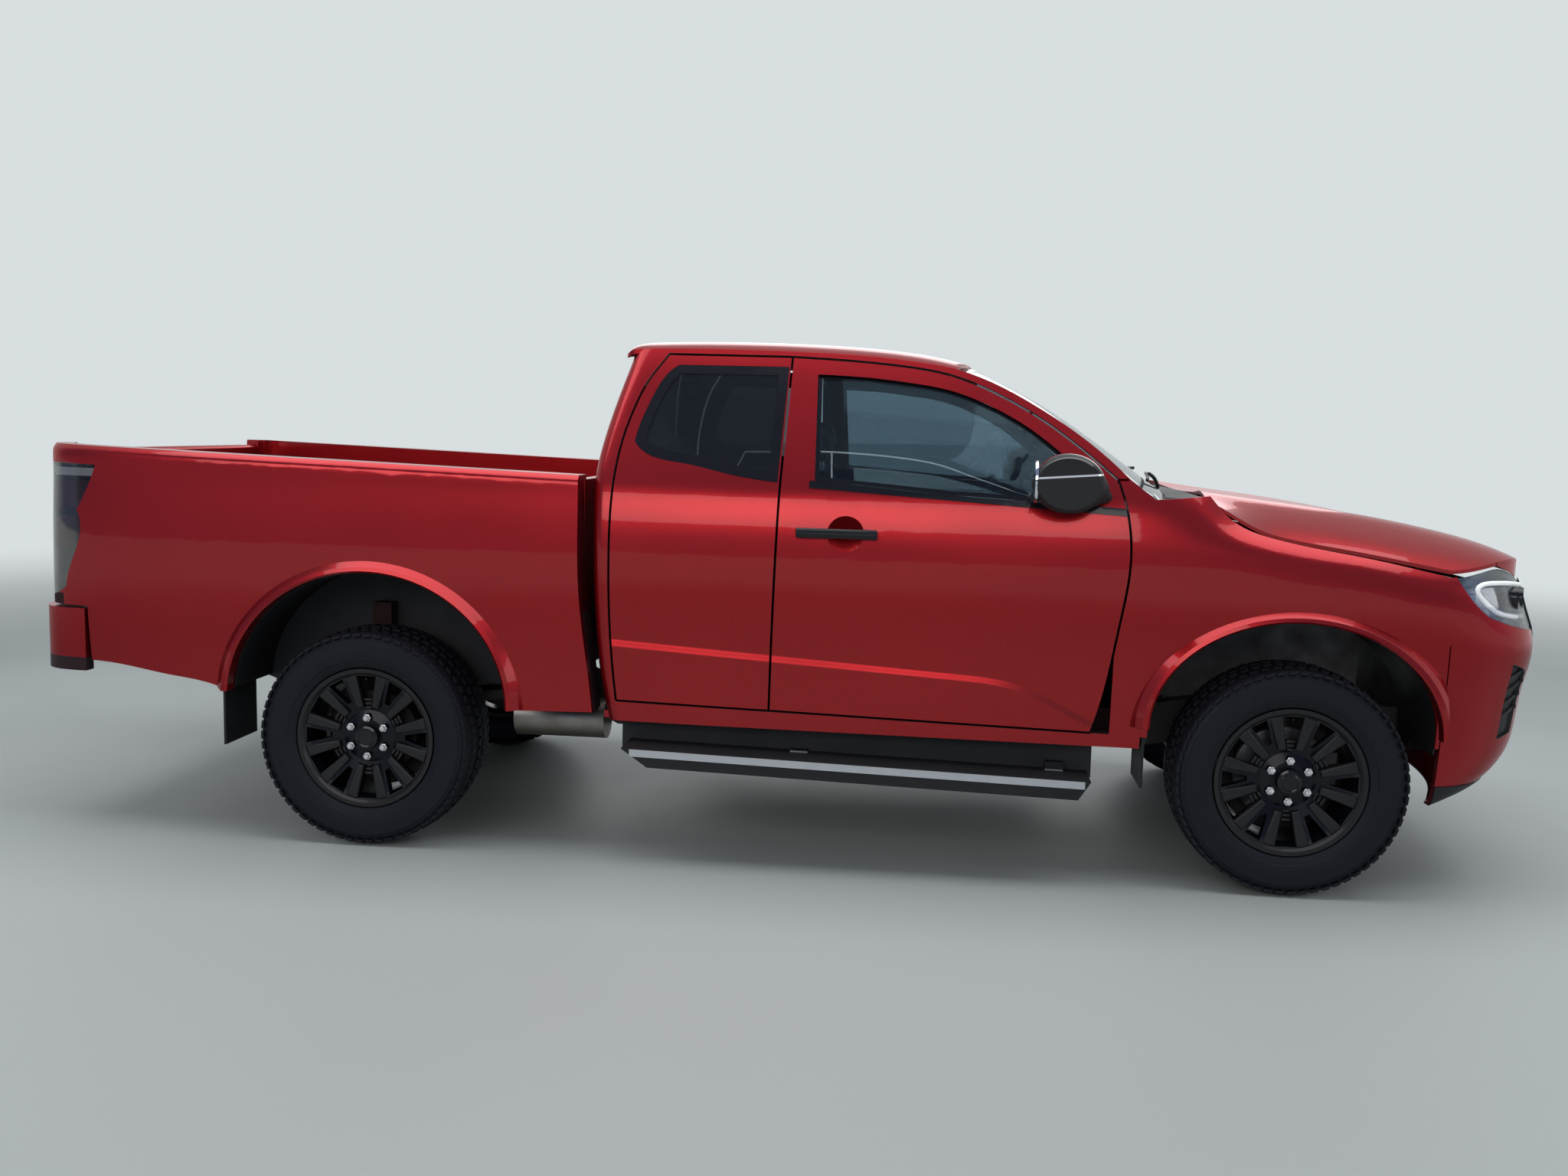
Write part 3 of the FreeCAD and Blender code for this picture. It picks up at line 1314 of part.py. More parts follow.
def rim_shape(outward):
    """One rim: a barrel, a dished face cut into double spokes, a hub and its nuts."""
    rim = size("rim_radius")
    wall = size("rim_wall")
    half = size("rim_depth") / 2
    points = [(rim, half), (rim - 14, half), (rim - 22, half - 10), (rim - 34, half - 60),
              (rim - 34, -half + 8), (rim - 14, -half), (rim, -half), (rim, -half + wall),
              (rim - 34 + wall, -half + 24), (rim - 34 + wall, half - 62),
              (rim - 12, half - 16), (rim, half - wall)]
    wire = Part.makePolygon([Vector(r, w, 0) for r, w in points + points[:1]])
    barrel = Part.Face(wire).revolve(Vector(), Vector(0, 1, 0), 360)
    face_points = [(0, half - 34), (60, half - 34), (92, half - 46), (160, half - 28),
                   (rim - 18, half - 12), (rim - 18, half - 44), (160, half - 62),
                   (92, half - HUB_BACK), (0, half - HUB_BACK)]
    wire = Part.makePolygon([Vector(r, w, 0) for r, w in face_points + face_points[:1]])
    face = Part.Face(wire).revolve(Vector(), Vector(0, 1, 0), 360)
    count = int(size("spoke_count"))
    for index in range(count):
        for inner_half, outer_half, start, shift in SPOKE_WINDOWS:
            end = rim - WINDOW_EDGE
            window = plan_cutter([
                [(start, -inner_half), (end, -outer_half)],
                [(end, -outer_half), (end, outer_half)],
                [(end, outer_half), (start, inner_half)],
                [(start, inner_half), (start, -inner_half)],
            ], -200, 200)
            window.rotate(Vector(), Vector(1, 0, 0), 90)
            window.rotate(Vector(), Vector(0, 1, 0), (index + shift) * 360 / count)
            face = face.cut(window)
    shape = barrel.fuse(face)
    for index in range(count):
        angle = (index + 0.5) * 2 * math.pi / count
        nut = Part.makeCylinder(12, 30, Vector(70 * math.cos(angle), half - 50,
                                               70 * math.sin(angle)), Vector(0, 1, 0))
        shape = shape.fuse(nut)
    if outward < 0:
        shape = mirrored(shape)
    return shape.removeSplitter()


rim_right = rim_shape(-1)
rim_left = rim_shape(1)
for end, axle_x in (("front", front_axle), ("rear", rear_axle)):
    for side_name, sign in (("right", -1), ("left", 1)):
        at = (axle_x, sign * wheel_plane, hub_height)
        tyre = revolved_body(f"tyre_{end}_{side_name}", tyre_profile(), "XY_Plane", at)
        keep(tyre, f"tyre_{end}_{side_name}")
        rim_feature = doc.addObject("Part::Feature", f"rim_{end}_{side_name}")
        rim_feature.Shape = rim_right if sign < 0 else rim_left
        rim_feature.Placement = FreeCAD.Placement(Vector(*at), FreeCAD.Rotation())
        keep(rim_feature, f"rim_{end}_{side_name}")

# Wheel-arch liners and mud flaps

liner = arch_block(FRONT_ARCH, -872 + near, -470, 6).cut(arch_block(FRONT_ARCH, -900, -400, 0))
liner = liner.common(box((1000, 2206), (-900, -400), (480, 1000)))
liner = liner.cut(nose_slab(-60, size("sheet_wall") + near))
liner = sorted(liner.Solids, key=lambda solid: solid.Volume)[-1]
flap = box((-1912, -1904), (-880, -650), (330, 531))
liner = liner.fuse(box((1259, 1268), (-860, -650), (330, 502))).removeSplitter()
feature("wheel_liners", Part.makeCompound(both(liner).Solids + both(flap).Solids))

# Running boards

board_x = (-470.0, -470.0 + size("board_length"))
board_top = [(board_x[0], 404), (board_x[1], 366)]
board_face = outline([
    [board_top[0], board_top[1]],
    [board_top[1], (board_x[1] - 40, 366 - size("board_depth"))],
    [(board_x[1] - 40, 366 - size("board_depth")), (board_x[0] + 90, 404 - size("board_depth"))],
    [(board_x[0] + 90, 404 - size("board_depth")), board_top[0]],
])
board = side_cutter(board_face, -965, -965 + size("board_width"))
for x in OUTRIGGERS:
    board = board.fuse(box((x - 30, x + 30), (-830, -OUTRIGGER_END - near), (368, 396)))
feature("running_boards", both(board.removeSplitter()))

# Seats and dashboard

SEAT_SIDES = (-620, -110)
REAR_SEAT_SIDES = (-620, -180)
CUSHION_BOTTOM = 700
seat_cushion = box((160, 680), SEAT_SIDES, (CUSHION_BOTTOM, 850))
seat_back = box((60, 200), SEAT_SIDES, (780, 1340))
seat_rest = box((50, 140), (-480, -250), (1360, 1520))
seat_post = box((80, 110), (-400, -330), (1330, 1370))
seat_foot = box((220, 600), (-580, -190), (size("floor_top") + near, CUSHION_BOTTOM))
front_seat = seat_cushion.fuse(seat_back).fuse(seat_rest).fuse(seat_post).fuse(seat_foot)
feature("front_seats", both(front_seat.removeSplitter()))
rear_cushion = box((-518, -180), REAR_SEAT_SIDES, (size("floor_top") + near, 780))
rear_back = box((-518, -430), REAR_SEAT_SIDES, (760, 1250))
feature("rear_seats", both(rear_cushion.fuse(rear_back).removeSplitter()))
DASH_HALF = 730
COLUMN_START = Vector(980, 365, 1010)
COLUMN_LINE = Vector(-0.9, 0, 0.42)
dash_points = [(BULKHEAD_X - near, 1180), (BULKHEAD_X - near, 820), (1060, 700), (960, 740),
               (900, 1000), (930, 1110), (1040, 1210)]
dash_face = Part.Face(
    Part.makePolygon([Vector(x, -DASH_HALF, z) for x, z in dash_points + dash_points[:1]])
)
dashboard = dash_face.extrude(Vector(0, 2 * DASH_HALF, 0))
column = Part.makeCylinder(32, 260, COLUMN_START, COLUMN_LINE)
feature("dashboard", dashboard.fuse(column).removeSplitter())

# Steering wheel: on the left

wheel_axis = Vector(COLUMN_LINE)
wheel_axis.normalize()
wheel_centre = COLUMN_START + wheel_axis * 300
rim_ring = Part.makeTorus(size("steering_wheel_radius"), size("steering_rim"))
hub_pad = Part.makeCylinder(70, 45, Vector(0, 0, -40 + near))
spokes = box((-176, 176), (-18, 18), (-10, 4)).fuse(box((-18, 18), (-176, 0), (-10, 4)))
steering = rim_ring.fuse(hub_pad).fuse(spokes).removeSplitter()
wheel_feature = doc.addObject("Part::Feature", "steering_wheel")
wheel_feature.Shape = steering
wheel_feature.Placement = FreeCAD.Placement(
    wheel_centre, FreeCAD.Rotation(Vector(0, 0, 1), wheel_axis)
)
keep(wheel_feature, "steering_wheel")

# Build, check and write

doc.recompute()
for thing in doc.Objects:
    bad = [state for state in thing.State if state in ("Invalid", "Error")]
    if bad:
        raise RuntimeError(f"{thing.Label} failed: {bad}")
os.makedirs("parts", exist_ok=True)
broken = [node.Label for node in nodes if node.Shape.isNull() or not node.Shape.isValid()]
if broken:
    raise RuntimeError(f"no valid shape: {broken}")
for node in nodes:
    shape = node.Shape
    shape.exportStep(os.path.join("parts", node.Label + ".step"))
    print(f"{node.Label}: {len(shape.Solids)} solids, {shape.Volume / 1e6:.1f} litres")
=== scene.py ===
import json
import math

import bpy
from mathutils import Matrix, Vector


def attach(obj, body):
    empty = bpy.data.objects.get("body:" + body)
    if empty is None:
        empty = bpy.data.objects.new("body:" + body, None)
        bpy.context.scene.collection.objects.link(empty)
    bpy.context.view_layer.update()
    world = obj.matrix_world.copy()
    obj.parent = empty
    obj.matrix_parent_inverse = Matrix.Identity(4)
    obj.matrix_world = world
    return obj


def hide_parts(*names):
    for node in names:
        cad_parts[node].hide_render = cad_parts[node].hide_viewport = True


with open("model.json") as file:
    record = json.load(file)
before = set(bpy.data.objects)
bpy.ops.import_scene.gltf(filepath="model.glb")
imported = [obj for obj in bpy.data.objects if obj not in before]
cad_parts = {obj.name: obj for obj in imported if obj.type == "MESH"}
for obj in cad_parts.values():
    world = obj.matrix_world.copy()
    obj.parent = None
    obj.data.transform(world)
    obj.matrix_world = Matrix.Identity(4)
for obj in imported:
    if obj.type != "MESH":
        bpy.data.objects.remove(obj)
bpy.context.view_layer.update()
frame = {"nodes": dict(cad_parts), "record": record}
cadNodes = frame["nodes"]
print("frame loaded,", len(cadNodes), "nodes")


# small tools for selecting and finishing

def clearSelection():
    if bpy.context.object and bpy.context.object.mode != "OBJECT":
        bpy.ops.object.mode_set(mode="OBJECT")
    bpy.ops.object.select_all(action="DESELECT")


def pick(piece):
    clearSelection()
    piece.select_set(True)
    bpy.context.view_layer.objects.active = piece


def editAll(piece):
    pick(piece)
    bpy.ops.object.mode_set(mode="EDIT")
    bpy.ops.mesh.select_all(action="SELECT")


def leaveEdit():
    bpy.ops.object.mode_set(mode="OBJECT")


def markFaces(piece, test):
    # goes into edit mode with the faces whose centre and normal pass the test
    editAll(piece)
    bpy.ops.mesh.select_mode(type="FACE")
    bpy.ops.mesh.select_all(action="DESELECT")
    leaveEdit()
    for face in piece.data.polygons:
        face.select = test(face.center, face.normal)
    bpy.ops.object.mode_set(mode="EDIT")


def dropFaces(piece, test):
    markFaces(piece, test)
    bpy.ops.mesh.delete(type="FACE")
    leaveEdit()


def cutAway(piece, cuts):
    # each cut is a point and a direction; what lies beyond the point that way is cut off
    editAll(piece)
    for at, away in cuts:
        bpy.ops.mesh.select_all(action="SELECT")
        bpy.ops.mesh.bisect(plane_co=at, plane_no=away, clear_outer=True)
    leaveEdit()


def pressFace(piece, facing, thickness, depth, least=0.9):
    # insets the faces that look one way, and moves them out, or in where the depth is negative
    markFaces(piece, lambda centre, normal: normal.dot(Vector(facing)) > least)
    bpy.ops.mesh.inset(thickness=thickness, depth=depth)
    leaveEdit()


def addStep(piece, kind, **settings):
    pick(piece)
    step = piece.modifiers.new(kind.title(), kind)
    for key, value in settings.items():
        setattr(step, key, value)
    bpy.ops.object.modifier_apply(modifier=step.name)


def roundEdges(piece, width, steps):
    addStep(piece, "BEVEL", width=width, segments=steps, limit_method="ANGLE")


def applyPlace(piece):
    pick(piece)
    bpy.ops.object.transform_apply(location=True, rotation=True, scale=True)


def outwards(piece):
    editAll(piece)
    bpy.ops.mesh.remove_doubles(threshold=0.00005)
    bpy.ops.mesh.normals_make_consistent(inside=False)
    leaveEdit()


def joinAll(pieces, name):
    clearSelection()
    for piece in pieces:
        piece.select_set(True)
    bpy.context.view_layer.objects.active = pieces[0]
    if len(pieces) > 1:
        bpy.ops.object.join()
    pieces[0].name = name
    return pieces[0]


def copyOf(piece, name):
    twin = bpy.data.objects.new(name, piece.data.copy())
    bpy.context.scene.collection.objects.link(twin)
    return twin


# finishes

def addNode(tree, kind, inputs, **settings):
    # an input is a number, a colour or another node's output
    node = tree.nodes.new("ShaderNode" + kind)
    for key, value in settings.items():
        setattr(node, key, value)
    for socket, value in inputs.items():
        giveInput(tree, node.inputs[socket], value)
    return node


def giveInput(tree, socket, value):
    if isinstance(value, bpy.types.NodeSocket):
        tree.links.new(value, socket)
    elif socket.type == "RGBA":
        socket.default_value = (*value, 1)
    else:
        socket.default_value = value


def mathNode(tree, operation, *values):
    return addNode(tree, "Math", dict(enumerate(values)), operation=operation).outputs[0]


def vectorNode(tree, operation, *values):
    return addNode(tree, "VectorMath", dict(enumerate(values)), operation=operation)


def mixColour(tree, share, first, second):
    return addNode(tree, "Mix", {0: share, 6: first, 7: second}, data_type="RGBA").outputs[2]


def mixValue(tree, share, first, second):
    return addNode(tree, "Mix", {0: share, 2: first, 3: second}).outputs[0]


def addBump(tree, shader, height, strength, distance):
    # over the bump that the shader may have already
    bump = addNode(tree, "Bump", {"Height": height, "Strength": strength, "Distance": distance})
    for link in shader.inputs["Normal"].links:
        tree.links.new(link.from_socket, bump.inputs["Normal"])
    tree.links.new(bump.outputs["Normal"], shader.inputs["Normal"])


def zoneMask(tree, place, zone):
    # 1 inside the zone: past all its planes on either side, and turned to a point if the zone names one
    far = vectorNode(tree, "ABSOLUTE", place.outputs["Object"])
    tests = []
    for direction, reach in zone["planes"]:
        along = vectorNode(tree, "DOT_PRODUCT", far.outputs[0], direction)
        tests.append((along.outputs["Value"], reach))
    if "faces" in zone:
        back = vectorNode(tree, "SUBTRACT", zone["faces"], place.outputs["Object"])
        unit = vectorNode(tree, "NORMALIZE", back.outputs[0])
        inward = vectorNode(tree, "DOT_PRODUCT", unit.outputs[0], place.outputs["Normal"])
        tests.append((inward.outputs["Value"], zone["turned"]))
    inside = [mathNode(tree, "GREATER_THAN", value, reach) for value, reach in tests]
    mask = inside[0]
    for other in inside[1:]:
        mask = mathNode(tree, "MULTIPLY", mask, other)
    return mask


def makeFinish(name, look):
    # a colour and a roughness that drift a little, zones of another finish, and a fine grain
    material = bpy.data.materials.new(name)
    material.use_nodes = True
    tree = material.node_tree
    shader = tree.nodes["Principled BSDF"]
    sockets = look.get("sockets", {})
    place = addNode(tree, "TexCoord", {})
    patch = addNode(tree, "TexNoise", {"Vector": place.outputs["Object"], "Scale": look.get("patch", 5.0),
                                       "Detail": 5.0})
    colour = mixColour(tree, patch.outputs["Fac"], look["colour"], look["shade"])
    if "edge" in look:  # the colour turns towards another at grazing angles, as flake paint does
        turn = addNode(tree, "LayerWeight", {"Blend": 0.35})
        colour = mixColour(tree, turn.outputs["Facing"], colour, look["edge"])
    smooth, rough = look["rough"]
    spread = addNode(tree, "MapRange", {"Value": patch.outputs["Fac"], "From Min": 0.3, "From Max": 0.7,
                                        "To Min": smooth, "To Max": rough})
    mixed = {"Roughness": spread.outputs["Result"]}
    for zone in look.get("zones", []):
        inside = zoneMask(tree, place, zone)
        colour = mixColour(tree, inside, colour, zone["colour"])
        mixed["Roughness"] = mixValue(tree, inside, mixed["Roughness"], zone["rough"])
        for socket in ("Metallic", "Coat Weight", "Transmission Weight"):
            before = mixed.get(socket, sockets.get(socket, 0.0))
            mixed[socket] = mixValue(tree, inside, before, zone.get(socket, 0.0))
    mixed["Base Color"] = colour
    for socket, value in mixed.items():
        tree.links.new(value, shader.inputs[socket])
    if "grain" in look:
        scale, depth = look["grain"]
        kind = "TexVoronoi" if look.get("grainKind") == "cells" else "TexNoise"
        grain = addNode(tree, kind, {"Vector": place.outputs["Object"], "Scale": scale})
        addBump(tree, shader, grain.outputs[0], look.get("bump", 0.35), depth)
    if "threads" in look:
        addBump(tree, shader, weaveHeight(tree, place, look["threads"]), 0.5, 0.0006)
    if "crease" in look:
        addBump(tree, shader, creaseHeight(tree, place, look["crease"]), 1.0, look["crease"]["depth"])
    for socket, value in sockets.items():
        shader.inputs[socket].default_value = value
    return material


def weaveHeight(tree, place, threads):
    # two crossed waves make the threads of a woven cloth
    inputs = {"Vector": place.outputs["Object"], "Scale": threads, "Distortion": 0.6}
    waves = [addNode(tree, "TexWave", inputs, bands_direction=direction) for direction in ("X", "Z")]
    return mathNode(tree, "MAXIMUM", *[wave.outputs["Fac"] for wave in waves])


def creaseHeight(tree, place, crease):
    # the panel steps out below the lower of two straight lines
    axes = addNode(tree, "SeparateXYZ", {0: place.outputs["Object"]})
    lines = [mathNode(tree, "MULTIPLY_ADD", axes.outputs["X"], slope, level)
             for slope, level in crease["lines"]]
    lowest = mathNode(tree, "SMOOTH_MIN", *lines, crease["bend"])
    below = mathNode(tree, "SUBTRACT", lowest, axes.outputs["Z"])
    step = addNode(tree, "MapRange", {"Value": below, "From Min": 0.0, "From Max": crease["width"]},
                   interpolation_type="SMOOTHSTEP")
    return step.outputs["Result"]


# one look for each material slot of the record; grain is (scale, depth)
slotLooks = {
    "body_paint": {
        "colour": (0.40, 0.012, 0.014), "shade": (0.34, 0.010, 0.013), "edge": (0.17, 0.003, 0.014),
        "rough": (0.22, 0.30), "patch": 2.0, "grain": (1400.0, 0.00002), "grainKind": "cells",
        "bump": 0.12,
        "sockets": {"Metallic": 0.72, "Coat Weight": 0.45, "Coat Roughness": 0.03,
                    "Specular Tint": (0.95, 0.28, 0.30, 1)},
    },
    "clear_glass": {
        "colour": (0.20, 0.30, 0.35), "shade": (0.17, 0.27, 0.32), "rough": (0.0, 0.02),
        "sockets": {"Transmission Weight": 1.0, "Alpha": 0.8, "IOR": 1.45},
    },
    "dark_glass": {
        "colour": (0.035, 0.042, 0.05), "shade": (0.03, 0.036, 0.044), "rough": (0.0, 0.03),
        "sockets": {"Transmission Weight": 0.85, "Alpha": 0.86, "IOR": 1.45},
    },
    "lamp_lens": {
        "colour": (0.93, 0.96, 0.98), "shade": (0.9, 0.95, 0.98), "rough": (0.0, 0.02),
        "sockets": {"Transmission Weight": 1.0, "Alpha": 0.45, "IOR": 1.4},
    },
    "smoked_lens": {
        "colour": (0.05, 0.05, 0.056), "shade": (0.04, 0.04, 0.046), "rough": (0.02, 0.05),
        "sockets": {"Transmission Weight": 0.9, "Alpha": 0.62, "IOR": 1.45, "Specular IOR Level": 0.4},
    },
    "gloss_black": {
        "colour": (0.006, 0.006, 0.008), "shade": (0.004, 0.004, 0.006), "rough": (0.12, 0.2),
        "sockets": {"Coat Weight": 0.25, "Coat Roughness": 0.03, "Specular IOR Level": 0.3},
    },
    "dark_plastic": {
        "colour": (0.014, 0.015, 0.017), "shade": (0.010, 0.011, 0.013), "rough": (0.5, 0.66),
        "grain": (900.0, 0.0004), "sockets": {"Specular IOR Level": 0.35},
    },
    "frame_black": {
        "colour": (0.018, 0.018, 0.019), "shade": (0.03, 0.027, 0.024), "rough": (0.5, 0.72),
        "patch": 9.0, "grain": (320.0, 0.0005),
    },
    "cast_grey": {
        "colour": (0.2, 0.2, 0.2), "shade": (0.12, 0.115, 0.11), "rough": (0.42, 0.65),
        "patch": 14.0, "grain": (260.0, 0.0006), "sockets": {"Metallic": 0.7},
    },
    "pipe_steel": {
        "colour": (0.32, 0.31, 0.29), "shade": (0.2, 0.17, 0.14), "rough": (0.32, 0.5),
        "patch": 12.0, "grain": (400.0, 0.0002), "sockets": {"Metallic": 1.0},
    },
    "tyre_rubber": {
        "colour": (0.008, 0.009, 0.015), "shade": (0.012, 0.012, 0.017), "rough": (0.55, 0.72),
        "patch": 7.0, "grain": (700.0, 0.0004), "sockets": {"Specular IOR Level": 0.22},
    },
    "rim_black": {
        "colour": (0.036, 0.035, 0.035), "shade": (0.028, 0.028, 0.029), "rough": (0.36, 0.46),
        "grain": (1200.0, 0.00006),
        "sockets": {"Metallic": 0.6, "Coat Weight": 0.1, "Specular IOR Level": 0.2},
    },
    "seat_cloth": {
        "colour": (0.045, 0.046, 0.05), "shade": (0.03, 0.031, 0.035), "rough": (0.8, 0.92),
        "patch": 40.0, "threads": 190.0, "sockets": {"Sheen Weight": 0.25},
    },
    "trim_plastic": {
        "colour": (0.04, 0.041, 0.045), "shade": (0.032, 0.033, 0.037), "rough": (0.5, 0.64),
        "grain": (650.0, 0.0005), "grainKind": "cells",
    },
}
# looks of the small pieces that no node of the frame has
fittingLooks = {
    "brightTrim": {
        "colour": (0.86, 0.87, 0.88), "shade": (0.78, 0.79, 0.81), "rough": (0.22, 0.32),
        "sockets": {"Metallic": 1.0},
    },
    "boardStrip": {
        "colour": (0.6, 0.62, 0.64), "shade": (0.52, 0.54, 0.56), "rough": (0.3, 0.42),
        "patch": 22.0, "grain": (500.0, 0.0001), "sockets": {"Metallic": 0.85},
    },
    "brakeSteel": {
        "colour": (0.16, 0.16, 0.16), "shade": (0.10, 0.098, 0.095), "rough": (0.3, 0.45),
        "patch": 30.0, "sockets": {"Metallic": 1.0},
    },
    # pale diffuse grey on the chrome nuts, with little metal: a painted glint, so they read bright where
    # chrome would reflect the dark room
    "nutPaintedGlint": {
        "colour": (0.70, 0.71, 0.73), "shade": (0.62, 0.63, 0.66), "rough": (0.16, 0.26),
        "sockets": {"Metallic": 0.25, "Specular IOR Level": 1.0},
    },
    "lightGuide": {
        "colour": (0.95, 0.97, 1.0), "shade": (0.9, 0.94, 1.0), "rough": (0.2, 0.3),
        "sockets": {"Emission Color": (0.92, 0.96, 1.0, 1), "Emission Strength": 0.25},
    },
    "reflector": {
        "colour": (0.15, 0.19, 0.25), "shade": (0.06, 0.08, 0.12), "rough": (0.12, 0.24),
        "patch": 30.0, "sockets": {"Metallic": 0.9},
    },
    "redLamp": {
        "colour": (0.26, 0.008, 0.010), "shade": (0.18, 0.005, 0.008), "rough": (0.1, 0.2),
        "sockets": {"Coat Weight": 0.6},
    },
    "mirrorGlass": {
        "colour": (0.7, 0.73, 0.76), "shade": (0.66, 0.7, 0.73), "rough": (0.02, 0.04),
        "sockets": {"Metallic": 1.0},
    },
    "screenGlass": {
        "colour": (0.01, 0.012, 0.016), "shade": (0.008, 0.01, 0.014), "rough": (0.06, 0.1),
        "sockets": {"Coat Weight": 1.0},
    },
}
finishes = {name: makeFinish(name, look) for name, look in {**slotLooks, **fittingLooks}.items()}

# zones of another finish on single nodes: planes are (direction, how far along it the zone begins)
cabMiddle = (0.30, 0.0, 1.10)
# black on the cab's and the bed's undersides is painted shade: the underside is body colour and lies in the
# shadow under the truck
paintedUnderShade = {"colour": (0.014, 0.014, 0.015), "rough": 0.8}
blackTrim = {"colour": (0.016, 0.017, 0.019), "rough": 0.6}
insideTrim = {"faces": cabMiddle, "turned": 0.3, "planes": [((0, 0, 1), 0.5)],
              "colour": (0.022, 0.022, 0.025), "rough": 0.75}
headliner = {**insideTrim, "planes": [((0, 0, 1), 1.62)], "colour": (0.34, 0.33, 0.31), "rough": 0.85}
doorCrease = {  # slope and level of the two lines, how softly they meet, how wide and deep the step is
    "lines": [(-0.06, 0.737), (-0.509, 1.111)], "bend": 0.08, "width": 0.035, "depth": 0.010,
}
zonedNodes = {
    "cab_shell": ("body_paint", {"zones": [
        insideTrim, headliner,
        # painted shade on the cab's underside
        {**paintedUnderShade, "planes": [((0, 0, -1), -0.5745), ((0, -1, 0), -0.80)]},
    ]}),
    "front_door_right front_door_left rear_door_right rear_door_left": ("body_paint", {
        "zones": [insideTrim], "crease": doorCrease,
    }),
    "load_bed": ("body_paint", {"zones": [
        # painted shade on the bed's underside
        {**paintedUnderShade, "planes": [((0, 0, -1), -0.846), ((0, -1, 0), -0.868)]},
    ]}),
    "rear_bumper": ("body_paint", {"zones": [
        {**blackTrim, "planes": [((0, 0, -1), -0.622)]},
        {**blackTrim, "planes": [((0, -1, 0), -0.424), ((0, 0, 1), 0.735)]},
    ]}),
    "rim_front_right rim_front_left rim_rear_right rim_rear_left": ("rim_black", {"zones": [
        {"planes": [((0, -1, 0), -0.8805)], "colour": (0.004, 0.005, 0.010), "rough": 0.3,
         "Coat Weight": 0.1},
    ]}),
    "mirror_right mirror_left": ("gloss_black", {"zones": [
        {"planes": [((0.08, 0, -1), -1.2835), ((0, 1, 0), 0.93)], "colour": (0.8, 0.8, 0.82), "rough": 0.2,
         "Metallic": 1.0},
        {"planes": [((0.08, 0, -1), -1.2775)], "colour": (0.02, 0.021, 0.023), "rough": 0.62},
    ]}),
}


def giveFinish(node, finish):
    for place in cadNodes[node].material_slots:
        place.material = finish


for part in frame["record"]["subparts"]:
    giveFinish(part["node"], finishes[part["material_slot"]])
for names, (base, extra) in zonedNodes.items():
    zoned = makeFinish(names.split()[0] + "_" + base, {**slotLooks[base], **extra})
    for node in names.split():
        giveFinish(node, zoned)
print("finishes set")


# shapes

def setPiece(piece, body, finish, angle=35):
    pick(piece)
    bpy.ops.object.shade_smooth_by_angle(angle=math.radians(angle))
    piece.data.materials.clear()
    piece.data.materials.append(finishes[finish])
    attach(piece, body)


def setPair(piece, body, finish, angle=35):
    # a piece on the truck's right and its twin on the left
    setPiece(piece, body, finish, angle)
    twin = copyOf(piece, piece.name.replace("Right", "Left"))
    twin.scale = (1, -1, 1)
    applyPlace(twin)
    outwards(twin)
    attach(twin, body.replace("right", "left"))
    return twin


def block(name, low, high, edge=0.004, steps=2):
    clearSelection()
    middle = [(a + b) / 2 for a, b in zip(low, high)]
    bpy.ops.mesh.primitive_cube_add(size=1, location=middle)
    piece = bpy.context.object
    piece.name = name
    piece.scale = [b - a for a, b in zip(low, high)]
    applyPlace(piece)
    if edge:
        roundEdges(piece, edge, steps)
    return piece


def pressedBlock(name, corners, facing, inset, depth, edge, steps=3):
    # a block with a field on one face, raised or sunk by the depth
    piece = block(name, *corners, edge=0)
    pressFace(piece, facing, inset, depth)
    roundEdges(piece, edge, steps)
    return piece


def turned(name, profile, centre, steps=48, axis=(0, 1, 0)):
    # a profile of (radius, along) points spun round its axis
    clearSelection()
    bpy.ops.mesh.primitive_plane_add(size=0.001, location=(0, 0, 0))
    piece = bpy.context.object
    piece.name = name
    bpy.ops.object.mode_set(mode="EDIT")
    bpy.ops.mesh.select_mode(type="VERT")
    bpy.ops.mesh.select_all(action="SELECT")
    bpy.ops.mesh.merge(type="CENTER")
    bpy.ops.transform.translate(value=(*profile[0], 0))
    for before, after in zip(profile, profile[1:]):
        step = (after[0] - before[0], after[1] - before[1], 0)
        bpy.ops.mesh.extrude_region_move(TRANSFORM_OT_translate={"value": step})
    bpy.ops.mesh.select_all(action="SELECT")
    bpy.ops.mesh.spin(steps=steps, angle=2 * math.pi, center=(0, 0, 0), axis=(0, 1, 0))
    leaveEdit()
    outwards(piece)
    turn = Vector((0, 1, 0)).rotation_difference(Vector(axis).normalized())
    piece.rotation_mode = "QUATERNION"
    piece.rotation_quaternion = turn
    piece.location = centre
    applyPlace(piece)
    return piece


def between(start, end, lift):
    # the point halfway, moved by a lift
    return tuple((a + b) / 2 + c for a, b, c in zip(start, end, lift))


def tube(name, points, radius, resolution=3):
    clearSelection()
    bpy.ops.curve.primitive_nurbs_path_add(location=(0, 0, 0))
    path = bpy.context.object
    path.name = name
    path.data.splines.clear()
    spline = path.data.splines.new("NURBS")
    spline.points.add(len(points) - 1)
    for point, at in zip(spline.points, points):
        point.co = (*at, 1)
    spline.order_u = 3
    spline.use_endpoint_u = True
    path.data.bevel_depth = radius
    path.data.bevel_resolution = resolution
    path.data.use_fill_caps = True
    bpy.ops.object.convert(target="MESH")
    piece = bpy.context.object
    outwards(piece)
    return piece


def skinOf(name, node, cuts, facing, thick=0.003, least=0.3, offset=0.7):
    # a piece that follows a panel: the panel's own outer faces between some planes, thickened
    piece = copyOf(cadNodes[node], name)
    editAll(piece)
    bpy.ops.mesh.customdata_custom_splitnormals_clear()
    bpy.ops.mesh.remove_doubles(threshold=0.00004)
    cutAway(piece, cuts)
    towards = Vector(facing).normalized()
    dropFaces(piece, lambda centre, normal: normal.dot(towards) < least)
    if thick:
        addStep(piece, "SOLIDIFY", thickness=thick, offset=offset)
    return piece


